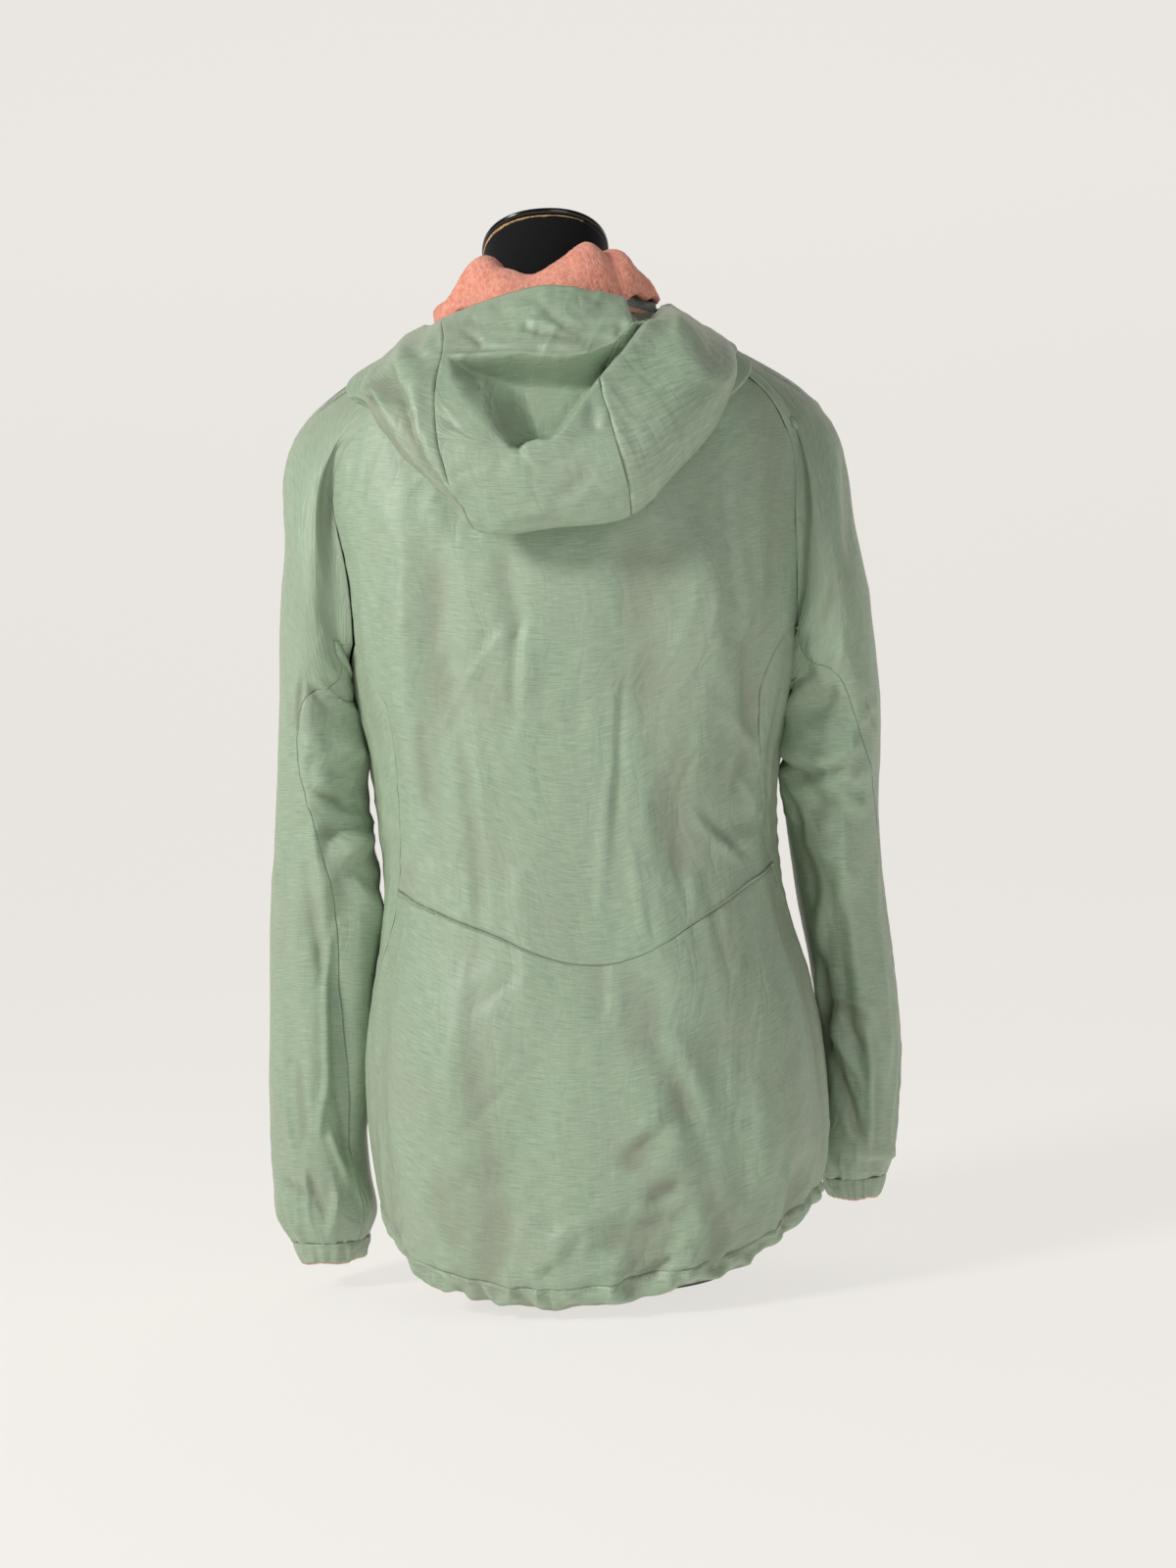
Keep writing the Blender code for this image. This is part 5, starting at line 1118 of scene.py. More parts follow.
# %% Creases of the sleeves
# In degrees and mm: turn from the outer side (90 faces behind) and height of each end, half width, stand-out.
SLEEVE_CREASES = {
    "left": (
        (111.2, 467, 162.9, 425, 7, 3), (144.8, 479, 168.5, 431, 8, -3), (105, 464, 168.5, 422, 5, -2.6),
        (89.1, 423, 140, 413, 7, 2.6), (103.5, 402, 143, 404, 4, -2.4), (89.4, 387, 153.9, 367, 5, -3),
        (91, 379, 168.5, 362, 5, 3), (103, 354, 144.7, 362, 5, -3.2), (111.9, 342, 159.3, 349, 8, 2.6),
        (116.3, 330, 168.5, 306, 8, -2), (84.3, 470, 69.7, 438, 5, -2), (89.1, 423, 77.2, 400, 5, 1.8),
        (131.3, 482, 123.1, 494, 5, -1.2), (89.3, 352, 102.7, 297, 8, 1.8), (82.6, 304, 108.3, 243, 7, -1.8),
        (40.3, 425, 40, 304, 10, 1.5), (125.8, 320, 168.5, 269, 7, 2.2), (107.9, 258, 108.1, 157, 5, 3),
        (116.4, 245, 124, 156, 9, -3), (105.7, 157, 98.6, 127, 4, 2), (124, 156, 130.6, 109, 7, -2.2),
        (109.8, 123, 126.7, 84, 4, 1.6), (74.6, 174, 79.4, 124, 7, -1.8), (50.5, 142, 65.4, 115, 5, 1.4),
        (42.4, 86, 79.8, 74, 4, -2), (45.9, 74, 53.1, 45, 5, 2), (82.3, 87, 94.5, 58, 5, -1.8),
        (111.7, 73, 95.4, 42, 5, 1.8), (131.3, 96, 146.5, 57, 6, 1.6),
    ),
    "right": (
        (146.7, 500, 168.5, 456, 6, -3), (129.9, 504, 115.4, 453, 7, 2.6), (98.8, 520, 123.1, 486, 5, -1.6),
        (91.9, 481, 105, 452, 5, 1.6), (168.5, 456, 168.5, 423, 5, 3), (153.1, 452, 157.1, 419, 6, -3.4),
        (126.4, 453, 147.7, 428, 5, 2.4), (105.4, 446, 127.8, 424, 5, -1.8), (168.5, 399, 131.7, 381, 4, -4),
        (131.7, 381, 87.3, 384, 5, -3.6), (168.5, 405, 111.9, 389, 6, 2.6), (111.9, 389, 73.9, 402, 6, 2.6),
        (149.2, 368, 59.8, 381, 7, 3), (149.7, 371, 137.9, 344, 4, -3.2), (118.5, 362, 70.9, 345, 4, -1.6),
        (110.8, 343, 57.7, 357, 6, 1.6), (139.9, 335, 128.2, 283, 8, -1.6), (82.4, 336, 101.6, 282, 8, 2),
        (58.6, 437, 39.6, 416, 4, -1.4), (70, 419, 40.2, 431, 3.5, 1.2), (121.6, 286, 159.6, 204, 8, 3),
        (87.5, 297, 95.7, 196, 9, 2.4), (120.4, 212, 78.8, 199, 4, 2.2), (134.7, 202, 90.4, 196, 5, -2.4),
        (142.2, 186, 100.9, 144, 5, 2.6), (118.7, 190, 94.8, 168, 6, -2.2), (143.3, 242, 150.2, 173, 8, -4),
        (138.1, 152, 95.8, 100, 7, -3.4), (88.3, 174, 78.9, 87, 4, 2), (76.9, 174, 65.8, 99, 6, -1.6),
        (120.9, 112, 86.4, 81, 5, 1.8), (127.2, 81, 48.6, 72, 4, -1.6), (80.6, 81, 16.8, 79, 4, 1.6),
        (51.9, 234, 58.5, 142, 8, 1.2),
    ),
}
SLEEVE_DEPTH = 1.7
# Where the padding swells towards the body, so that no daylight shows between the two.
SLEEVE_SWELLS = {
    "left": (
        (148, 530, 148, 358, 22, 12.5), (148, 380, 148, 90, 24, 16.5),
    ),
    "right": (
        (148, 530, 148, 330, 22, 13.5),
    ),
}


print("sleeve creases placed by hand:", {word: len(rows) for word, rows in SLEEVE_CREASES.items()})


def sleeve_creases(angle, height, word):
    across = np.radians(angle) * SLEEVE_RADIUS
    seed = 71 if word == "left" else 81
    elbow = np.exp(-(((height - 0.385) / 0.075) ** 2)) * ease((angle - 30.0) / 60.0)
    cuff_end = ease((0.130 - height) / 0.07)
    out = 0.0058 * elbow * creases(across, height, 0.016, 20.0, 4.0, seed)
    out += 0.0022 * creases(across, height, 0.024, 100.0, 5.0, seed + 3)
    out += 0.0034 * cuff_end * creases(across, height, 0.014, 84.0, 3.4, seed + 6)
    out += 0.0008 * creases(across, height, 0.011, 50.0, 3.4, seed + 9)
    out *= ease((180.0 - np.abs(angle)) / 25.0)
    for lap in (-360.0, 0.0):
        around = np.radians(angle - lap) * SLEEVE_RADIUS
        out += SLEEVE_DEPTH * fold_relief(run_on(on_cloth(SLEEVE_CREASES[word], SLEEVE_RADIUS)), around, height)
        out += fold_relief(on_cloth(SLEEVE_SWELLS[word], SLEEVE_RADIUS), around, height)
    return out


def sleeve_cloth(side, word):
    """The sleeve's plain surface, how it faces and how far its folds stand out, row 0 at the armhole."""
    rings, leave, facing, split = sleeve_rings(side, word)
    gaps = np.linalg.norm(np.diff(rings, axis=0), axis=2)
    run = run_of(rings, over=1)
    slopes = np.gradient(rings, run, axis=0)
    slopes[0] = leave * (gaps[0] / (run[1] - run[0]))[:, None]
    share = steps(ROWS_SLEEVE, 0.72)
    marks = share * run[-1]
    low = np.clip(np.searchsorted(run, marks, side="right") - 1, 0, len(run) - 2)
    step = (run[low + 1] - run[low])[:, None, None]
    part = ((marks - run[low]) / (run[low + 1] - run[low]))[:, None, None]
    points = between(part, rings[low], step * slopes[low], rings[low + 1], step * slopes[low + 1])
    down = np.gradient(points, axis=0)
    round_it = np.gradient(points, axis=1)
    round_it[:, 0] = round_it[:, -1] = unit(points[:, 1] - points[:, -2])
    normal = unit(np.cross(unit(down), unit(round_it))) * -side
    blend = ease(share * ROWS_SLEEVE / 1.5)[:, None, None]
    normal = unit(normal * blend + facing[None] * (1 - blend))

    tube = SLEEVE[word]
    heights = points[..., 2]
    keys = column(tube, 0)[::-1]
    near, far, fore, deep = (np.interp(heights, keys, column(tube, k)[::-1]) for k in (1, 2, 3, 4))
    over = (side * points[..., 0] - (near + far) / 2) / ((far - near) / 2)
    angle = np.degrees(np.arctan2((fore - points[..., 1]) / deep, over))
    folds = on_cloth(SLEEVE_FOLDS[word], SLEEVE_RADIUS)
    relief = np.zeros(heights.shape)
    for lap in (-360.0, 0.0, 360.0):
        relief += fold_relief(folds, np.radians(angle + lap) * SLEEVE_RADIUS, heights)
    relief *= ease(share * ROWS_SLEEVE / 4.0)[:, None]
    past = ease(share * ROWS_SLEEVE / 2.0)[:, None]
    small = sleeve_creases(angle, heights, word) * past
    small += body_creases(np.degrees(np.arctan2(points[..., 0], -points[..., 1])), heights) * (1 - past) * 0.5
    return points, normal, relief, small, split


# %% Sleeves and under sleeves
def sleeve(side, word):
    plain, normal, relief, small, split = sleeve_cloth(side, word)
    across, upward = cloth_lengths(plain)
    points = plain + relief[..., None] * normal
    for kind, part in (("sleeve", slice(0, split + 1)), ("under_sleeve", slice(split, None))):
        faces = normal[:, part]
        fine = small[:, part] - seam_roll(faces.shape[:2]) + pucker(across[:, part], upward[:, part], 91 + side)
        cloth = trimmed(points[:, part] + fine[..., None] * faces, ends=False)
        piece = cloth_piece(f"{kind}_{word}_cloth", cloth, faces, [SHELL_CLOTH], stands=fine)
        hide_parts(f"{kind}_{word}")
        declare(piece, plain[:, part], level_from=len(plain) // 5)


for hand, word in ((-1, "left"), (1, "right")):
    sleeve(hand, word)

# %% [markdown]
# ## Cuffs
#
# Each cuff is a short elastic casing sewn to the sleeve's end. Inside it a thin pink binding shows as a
# line of colour at the opening, so the cloth ring is followed by a narrow pink ring.

# %% Cuffs and their binding
CUFF_COLUMNS, CUFF_ROWS = 280, 14


def cuff_ring(side, word, up, inset, seed):
    """One level ring of a cuff: up is the share of its height, inset is how far inside its face."""
    height, near, far, fore, deep, _, _ = SLEEVE[word][-1]
    angle = np.linspace(0.0, 2 * math.pi, CUFF_COLUMNS + 1)[None, :]
    around = angle * SLEEVE_RADIUS * 0.8
    ripple = 0.0008 * np.sin(angle * 11 + 3.0 * np.sin(angle * 3 + seed)) + 0.0004 * np.sin(angle * 23 + seed)
    ripple = ripple * (0.6 + 0.6 * (1 - up))
    tuck = 0.0007 * hills(around / 0.006 % 43.0, up * 3.0 + seed, 101 + seed)
    pull = CUFF_PULLED * (1 - up) ** 1.2 - CUFF_EASED * up - 0.0006 * np.sin(math.pi * up)
    grow = ripple + tuck * np.sin(angle / 2) ** 2 - pull - inset
    out, fro = (far - near) / 2 + grow, deep + grow
    level_height = height - SEAM_GAP - CUFF_TALL * (1 - up) + 0.0007 * np.sin(angle * 5 + seed) * (1 - up)
    x, y = side * ((near + far) / 2 + out * np.cos(angle)), fore - fro * np.sin(angle)
    facing = np.stack([side * np.cos(angle), -np.sin(angle), 0 * angle], axis=-1) + 0 * up[..., None]
    return np.stack([x, y, level_height + 0 * x], axis=-1), facing


def cuff(side, word, seed):
    up = np.linspace(0.0, 1.0, CUFF_ROWS)[:, None]
    points, facing = cuff_ring(side, word, up, 0.0, seed)
    points[-1] -= 0.0002 * facing[-1]
    piece = cloth_piece(f"cuff_{word}_cloth", points, facing, [SHELL_CLOTH], closed=True)
    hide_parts(f"cuff_{word}")
    declare(piece, points)
    low = np.linspace(-0.07, 0.06, 4)[:, None]
    points, facing = cuff_ring(side, word, np.maximum(low, 0.0), 0.0011, seed)
    points[..., 2] += np.minimum(low, 0.0) * CUFF_TALL
    cloth_piece(f"cuff_binding_{word}", points, facing, [BINDING], thick=0.0012, closed=True)


cuff(-1, "left", 1)
cuff(1, "right", 2)

# %% [markdown]
# ## Hood
#
# The hood is thrown back, so it hangs as a bag: from the face edge, over the back, down to the bag's
# lower edge and up again between the bag and the body to the neck seam. Three panels make it. A stitched
# casing draws up its crown, and the middle has fallen in as a hollow with a sharp rim on the wearer's right.

# %% Shape of the hood
def clear_of_body(points, gap):
    """Moves points that lie in or on the body out to the given distance from it."""
    heights = np.minimum(points[..., 2], BODY[-1][0])
    shift, wide, back, front, square = body_sizes(heights)
    x, y = points[..., 0] - shift, points[..., 1]
    deep = np.where(y < 0, back, front)
    reach = ((np.abs(x) / wide) ** square + (np.abs(y) / deep) ** square) ** (1 / square)
    need = 1.0 + gap / np.maximum(np.hypot(x, y), 0.02)
    grow = np.where((reach < need) & (points[..., 2] < BODY[-1][0]), need / np.maximum(reach, 0.2), 1.0)
    return np.stack([shift + x * grow, y * grow, points[..., 2]], axis=-1)


def hood_grid(over, share):
    """The outer face of the hood, row 0 at its face edge and the last row at the neck seam."""
    stations = column(HOOD, 0)
    guides = np.array([row[1:] for row in HOOD]) * MILLIMETRE
    neck = body_surface(stations, neckline(stations) + NECK_LIFT)
    low = guides[:, 3]
    back = [clear_of_body(low + (neck - low) * part, HOOD_CLEAR) for part in HOOD_RETURN]
    guides = np.concatenate([guides, np.stack([*back, neck], axis=1)], axis=1)
    for side in (0, -1):
        guides[side, :, 0] = guides[side, 0, 0]
    guides = guides.transpose(1, 0, 2)
    run = run_of(guides, over=1)
    lanes = smooth(run, guides, share * run[-1])
    left, right = (read(table, share)[:, 0] for table in (HOOD_SEAM_LEFT, HOOD_SEAM_RIGHT))
    grid = []
    for lane, low, high in zip(lanes, left, right):
        turns = np.concatenate([
            stations[0] + over[0] * (low - stations[0]),
            low + over[1][1:] * (high - low),
            high + over[2][1:] * (stations[-1] - high),
        ])
        grid.append(smooth(stations, lane, turns))
    return np.array(grid)

print("stations of the hood:", [row[0] for row in HOOD])


# %% Creases of the hood
# In mm: where each end of a fold is, to the right and in height, then its half width and stand-out.
HOOD_CREASES = in_metres((
    (-17.2, 714.9, -6.8, 709.9, 4, -2.6), (-6.8, 709.9, 7.1, 706.5, 4, -3), (7.1, 706.5, 24.7, 703.8, 4.5, -2.4),
    (24.7, 703.8, 45.6, 697.4, 4.5, -1.6), (-13.5, 717.3, 9.2, 711.4, 4.5, 2.4),
    (9.2, 711.4, 28.7, 712.5, 4, -2.2), (28.7, 712.5, 50, 713.5, 4, -2), (50, 713.5, 58.3, 703.8, 4, -2.2),
    (14.7, 715.9, 50.1, 716.3, 4.5, 2), (-10.8, 735.8, 1, 724.5, 4.5, -1.6), (1, 724.5, 10.9, 711.3, 4.5, -1.8),
    (-27, 730.4, -2.2, 730, 5, 1.6), (29.9, 735.4, 43.7, 728.5, 4, -1.4), (-61.4, 715.4, -51.2, 706.9, 3.5, -2),
    (-51.2, 706.9, -48.9, 701.5, 3, -2.2), (-73.5, 721, -48.5, 724.5, 4.5, -1.4),
    (-41.1, 732.1, -52.1, 724.7, 5, 1.6), (-39.1, 701.9, -14.5, 697.9, 4.5, 1.8),
    (-3.9, 698.3, 24.3, 695.4, 4, 1.8), (31.6, 699.9, 51.3, 704.2, 4, 1.4), (-57.3, 693.1, -40, 684.2, 4.5, -2.6),
    (-64.5, 690.8, -48.8, 684.7, 5, 1.8), (49.5, 705.2, 58.1, 700.3, 3, -1.6),
    (-79.9, 649.2, -68.9, 639.7, 3.5, -1.4), (-82.3, 637.8, -63.9, 633.3, 3.5, 1.2),
    (-72.4, 606.3, -56.3, 610.8, 3.5, -1.4), (-71, 599.2, -47.7, 605, 3.5, 1.4),
    (-71.4, 591.2, -52.3, 584.9, 3.5, -1.2), (29, 650.5, 27.2, 632.9, 5, -2.2),
    (36.7, 646.6, 35.1, 632.5, 4, 2.2), (-2.9, 581.4, 22.9, 601.3, 5, -1.6), (-35.3, 572.5, 25.7, 587, 4.5, 1.4),
    (25.7, 587, 42.9, 579, 4.5, -1.4), (-35.4, 569.9, 0, 570.7, 3.5, -1.2), (-33.6, 604.3, -8.3, 613.6, 8, 1.6),
    (-31.4, 646.6, -46.4, 629.7, 9, -1.6), (75.6, 695.9, 72.1, 662.4, 8, -1), (92.4, 679.1, 81.7, 644.2, 7, 0.9),
    (107.6, 699.5, 119.2, 684.7, 6, -1.4), (54.1, 656.3, 55.7, 620.8, 5, -1),
    (-102.3, 712.3, -92, 704.6, 4, -1.8), (-91.8, 709.9, -83.6, 697.1, 4, 1.6),
    (-83.4, 717.5, -80.7, 702.3, 3, -1.6), (-100.9, 705.1, -81.8, 696.7, 4, -1.8),
    (-95.2, 678.3, -93, 653.4, 5, 1.6), (-89.2, 674.4, -89.6, 649.7, 4, -1.4),
    (-111.8, 665, -104.1, 643.4, 5, 1.6), (-125.5, 640.9, -112.6, 615.5, 4, -1.8),
))
# The edge of the hollow, all round, in mm: to the right, height, and how softly the cloth turns in there.
BOWL = in_metres((
    (-74.8, 696.3, 22), (-48.2, 696.2, 24), (-18.1, 696.9, 26), (6.5, 693.8, 26), (27.7, 693.9, 22),
    (49.3, 700.8, 16), (63.2, 713.3, 8), (71.1, 712, 7), (63.5, 701.8, 6.5), (57.8, 693.3, 6.5),
    (46.5, 681.5, 6.5), (33.3, 666.2, 6.5), (23.9, 654.3, 6.5), (14.3, 640.7, 6.5), (5.8, 630.5, 6.5),
    (-1.6, 624.7, 7), (-11.3, 624.9, 7), (-18.5, 622.9, 8), (-24.9, 618.8, 9), (-31.8, 621, 14),
    (-39.4, 628.5, 26), (-47.7, 638.6, 36), (-56.1, 647.9, 42), (-64.3, 660.7, 40), (-72.3, 677.1, 30),
))
BOWL_DEEP = 0.040
# The sharp rim that the right side makes over the hollow, and the layers of the left side.
RIM = in_metres((
    (79.7, 724), (71.1, 712), (63.5, 701.8), (57.8, 693.3), (46.5, 681.5), (33.3, 666.2), (23.9, 654.3),
    (14.3, 640.7), (5.8, 630.5), (-1.6, 624.7), (-11.3, 624.9), (-18.5, 622.9), (-24.9, 618.8),
))
LAYER_INNER = in_metres((
    (-112.9, 711.1), (-110.8, 702.1), (-108.8, 689.6), (-102.6, 671.6), (-99.1, 653.7), (-95.6, 635.8),
    (-87.7, 617.7), (-74.6, 597.6), (-59.9, 575.6),
))
LAYER_OUTER = in_metres((
    (-131.5, 694.3), (-128.7, 680), (-122.8, 658.5), (-113.3, 636.8), (-101.9, 618.5), (-86.9, 600),
    (-66.8, 577.7),
))
# The casing's stitched crease across the crown.
CASING_LINE = in_metres((
    (-76.4, 698.9), (-62.3, 699), (-42.8, 698.5), (-18.1, 696.9), (-4.1, 693.7), (13.5, 692.4), (27.7, 693.6),
    (49.4, 701.7), (58.3, 703.8),
))


def near_line(x, z, line):
    """Distance to a line, which side (+ is left of its run), and a fade at its ends."""
    nearest, share, side = np.full(x.shape, 9.0), np.zeros(x.shape), np.ones(x.shape)
    for number, ((x0, z0), (x1, z1)) in enumerate(zip(line[:-1], line[1:])):
        run, rise = x1 - x0, z1 - z0
        part = np.clip(((x - x0) * run + (z - z0) * rise) / (run * run + rise * rise), 0.0, 1.0)
        over, up = x - x0 - part * run, z - z0 - part * rise
        gap = np.hypot(over, up)
        nearer = gap < nearest
        nearest = np.where(nearer, gap, nearest)
        share = np.where(nearer, (number + part) / (len(line) - 1), share)
        side = np.where(nearer, np.sign(run * up - rise * over), side)
    return nearest, side, ease(share / 0.12) * ease((1 - share) / 0.12)


def bowl_depth(x, z):
    """From 0 outside the hollow to 1 at its bottom."""
    inside, depth = np.zeros(x.shape, bool), np.full(x.shape, 9.0)
    for (x0, z0, lip0), (x1, z1, lip1) in zip(BOWL, BOWL[1:] + BOWL[:1]):
        run, rise = x1 - x0, z1 - z0
        part = np.clip(((x - x0) * run + (z - z0) * rise) / (run * run + rise * rise), 0.0, 1.0)
        gap = np.hypot(x - x0 - part * run, z - z0 - part * rise)
        depth = np.minimum(depth, gap / (lip0 + (lip1 - lip0) * part))
        if rise:
            inside ^= ((z > z0) != (z > z1)) & (x < x0 + (z - z0) * run / rise)
    return np.where(inside, ease(depth), 0.0)


def hood_creases(x, z):
    """How far the hood's small folds stand out: gathers at the crown, layers, soft creases in the hollow."""
    out = 0.7 * fold_relief(run_on(HOOD_CREASES), x, z)
    gap, side, fade = near_line(x, z, CASING_LINE)
    out -= 0.0020 * fade * np.exp(-((gap / 0.0022) ** 2))
    out -= 0.0012 * fade * side * ease(gap / 0.003) * np.exp(-gap / 0.008)
    crown = np.exp(-(((x + 0.01) / 0.065) ** 4)) * ease((z - 0.694) / 0.012) * ease((0.745 - z) / 0.02)
    out += 0.0010 * crown * creases(x, z, 0.010, 165.0, 6.0, 111)
    for line, drop, swell in ((LAYER_INNER, 0.0075, 0.0030), (LAYER_OUTER, 0.0050, 0.0022)):
        gap, side, fade = near_line(x, z, line)
        beyond = side < 0
        out -= fade * beyond * drop * ease(gap / 0.0030) * np.exp(-gap / 0.016)
        out += fade * swell * np.exp(-((gap / 0.008) ** 2)) * np.where(beyond, 1 - ease(gap / 0.003), 1.0)
    bowl = bowl_depth(x, z)
    out += 0.0012 * ease(bowl * 2) * creases(x, z, 0.018, 60.0, 4.0, 115)
    out += 0.0012 * creases(x, z, 0.024, 75.0, 4.0, 119)
    out += 0.0005 * creases(x, z, 0.010, 50.0, 3.4, 123)
    gap, _, fade = near_line(x, z, RIM)
    return out + 0.0045 * ease(fade * 3) * np.exp(-((gap / 0.011) ** 2)) * (1 - bowl)


def hood_cloth(over, share):
    points = hood_grid(over, share)
    normal = unit(np.cross(np.gradient(points, axis=0), np.gradient(points, axis=1)))
    outside = ease((HOOD_OUTSIDE[0] - share) / HOOD_OUTSIDE[1])[:, None]
    x, z = points[..., 0], points[..., 2]
    relief = fold_relief(HOOD_FOLDS, x, z) * outside
    plain = points + relief[..., None] * normal
    plain[..., 1] += BOWL_DEEP * bowl_depth(x, z) * outside
    return plain, normal, hood_creases(x, z) * outside


# The pile faces the head; the part of the bag that lies under it is lined in plain shell cloth.
LINED = [SHELL_CLOTH, SHERPA, SHELL_CLOTH, SHELL_CLOTH]
# How far both shoulders of the bag have settled: mm to the right, mm down.
HOOD_SETTLED = (
    (-150, 14), (-128, 16), (-119, 15), (-110, 10), (-101, 8), (-92, 6), (-78, 0), (94, 0), (101, 5), (109, 10),
    (117, 14), (127, 14), (135, 11), (143, 5), (152, 3),
)

# The dip in the face edge between the middle panel and the right shoulder of the bag.
HOOD_NOTCH = ((57.0, 0.0), (61.5, 13.0), (67.0, 16.0), (75.0, 11.0), (85.0, 0.0))

HOOD_FINE = (16, 13, 16)  # columns of the three panels, finer than the solids', for the small folds
ROWS_OUTSIDE, ROWS_UNDER = 136, 34  # rows of the outer side, and of the part under the bag
PILE_ROWS = 41  # rows from the face edge that have pile behind them


def hood():
    turn_in = HOOD_OUTSIDE[0]
    share = np.concatenate([np.linspace(0.0, turn_in, ROWS_OUTSIDE), np.linspace(turn_in, 1.0, ROWS_UNDER)[1:]])
    over = [steps(count, 0.17) for count in HOOD_FINE]
    points, normal, small = hood_cloth(over, share)
    turns = np.degrees(np.arctan2(np.abs(points[-1, :, 0]), -points[-1, :, 1]))
    near_neck = ease((share - HOOD_RETURN[0]) / (1 - HOOD_RETURN[0]))[:, None]
    gap = HOOD_CLEAR + (np.interp(turns, *NECK_CLEAR) - HOOD_CLEAR) * near_neck**6
    high = ease((points[..., 2] - 0.655) / 0.05)
    points[..., 2] -= MILLIMETRE * np.interp(points[..., 0] * 1000, *zip(*HOOD_SETTLED)) * high
    edge = ease((points[..., 2] - 0.708) / 0.024) * (points[..., 1] < 0)
    points[..., 2] -= MILLIMETRE * np.interp(points[..., 0] * 1000, *zip(*HOOD_NOTCH)) * edge
    points = np.where(share[:, None, None] > 0.5, clear_of_body(points, gap), points)
    across, upward = cloth_lengths(points)
    first = 0
    for word, part_over in zip(("left", "middle", "right"), over):
        part = slice(first, first + len(part_over))
        faces = normal[:, part]
        fine = small[:, part] - seam_roll(faces.shape[:2]) + pucker(across[:, part], upward[:, part], 121 + first)
        fine[:3] = small[:3, part]
        cloth = trimmed(points[:, part] + fine[..., None] * faces, ends=False)
        piece = cloth_piece(f"hood_{word}_cloth", cloth, faces, LINED, stands=fine, plain_from=PILE_ROWS)
        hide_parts(f"hood_{word}")
        declare(piece, points[:, part])
        first += len(part_over) - 1


hood()

# %% [markdown]
# ## Pile lining
#
# The lining stands up from inside the neck and rolls over into the hood, crumpled, so its crown is a row of
# soft lobes. Its curls are lumps about 3 mm across, from a field of scattered points: each place stands out
# by how near it is to its nearest point. That is cheaper than curls modelled one by one, and closes up.

# %% Curls of the pile
CURL = 0.0028


def curls(points, size, seed):
    """From 0 between the curls to 1 on top of one, at any places in space."""
    random = np.random.default_rng(seed)
    table = random.uniform(0.1, 0.9, (31, 29, 27, 3))
    cell = np.floor(points / size).astype(int)
    spot = points / size - cell
    nearest = np.full(points.shape[:-1], 9.0)
    for dx in (-1, 0, 1):
        for dy in (-1, 0, 1):
            for dz in (-1, 0, 1):
                move = np.array((dx, dy, dz))
                key = cell + move
                centre = table[key[..., 0] % 31, key[..., 1] % 29, key[..., 2] % 27] + move
                nearest = np.minimum(nearest, ((spot - centre) ** 2).sum(axis=-1))
    return np.clip(1.0 - np.sqrt(nearest) / 0.95, 0.0, 1.0)

print("curls", CURL, "m across")


# %% The collar of pile
COLLAR_COLUMNS, COLLAR_ROWS = 540, 64
# Lobes of the crown as the photo shows them: turn, how much higher in mm, half width in degrees.
LOBES = (
    (-82, 2, 5), (-68, 3, 5), (-34, 2, 5), (-23, -2, 4), (12, 1.5, 6), (21, 1.5, 4), (31, -2, 4), (40, 2.5, 5),
    (55, 1.5, 4), (70, 2, 5),
)
# Where the crown has slumped at both sides: turn, mm down.
CROWN_DROP = (
    (-105, 0), (-85, 7), (-66, 11), (-52, 14), (-46, 10), (-41, 2), (-37, 0), (42, 0), (50, 6), (60, 10), (75, 9),
    (95, 2), (110, 0),
)


def collar_lanes(turns):
    """The middle of the pile lining: from its foot inside the neck, up to its crown, and into the hood."""
    crown, lean, reach, drop = read(COLLAR, turns).T
    crown = crown - MILLIMETRE * np.interp(turns, *zip(*CROWN_DROP))
    for middle, tall, wide in LOBES:
        crown = crown + MILLIMETRE * tall * np.exp(-(((turns - middle) / wide) ** 2))
    foot = body_surface(turns, neckline(turns))
    outward = unit(foot * (1.0, 1.0, 0.0))
    base = foot - outward * (SHELL + PILE / 2 + COLLAR_INSET)
    rise = crown - base[:, 2]
    lanes = [base - (0, 0, COLLAR_FOOT)]
    for up, out in COLLAR_RISE:
        point = base + outward * (reach * out - lean * up)[:, None]
        point[:, 2] += rise * up
        lanes.append(point)
    for out, down in COLLAR_FALL:
        point = base + outward * (reach * (1 + out) - lean)[:, None]
        point[:, 2] = crown - COLLAR_SINK * np.maximum(drop, 0.0) - down * drop
        lanes.append(point)
    return np.array(lanes)


def collar():
    side = np.degrees(np.arcsin(ZIP_HALF / COLLAR_RADIUS))
    turns = np.linspace(-180.0 + side, 180.0 - side, COLLAR_COLUMNS)
    lanes = collar_lanes(turns)
    run = run_of(lanes, over=1)
    points = smooth(run, lanes, np.linspace(0.0, run[-1], COLLAR_ROWS))
    for end, place in ((0, -ZIP_HALF), (-1, ZIP_HALF)):
        points[:, end, 0] = place
    normal = unit(np.cross(np.gradient(points, axis=1), np.gradient(points, axis=0)))
    plain = points + PILE / 2 * normal
    lumps = curls(plain, CURL, 131)
    wide = hills(plain[..., 0] / 0.011 + plain[..., 2] / 0.03, plain[..., 1] / 0.011, 133)
    cloth = plain + (0.0010 * (lumps - 0.5) + 0.0006 * wide - 0.0006)[..., None] * normal
    piece = cloth_piece("hood_lining_pile", cloth, normal, [SHERPA], thick=PILE - 0.0012, curl=lumps)
    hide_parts("hood_lining")
    declare(piece, plain, spare=1.15)


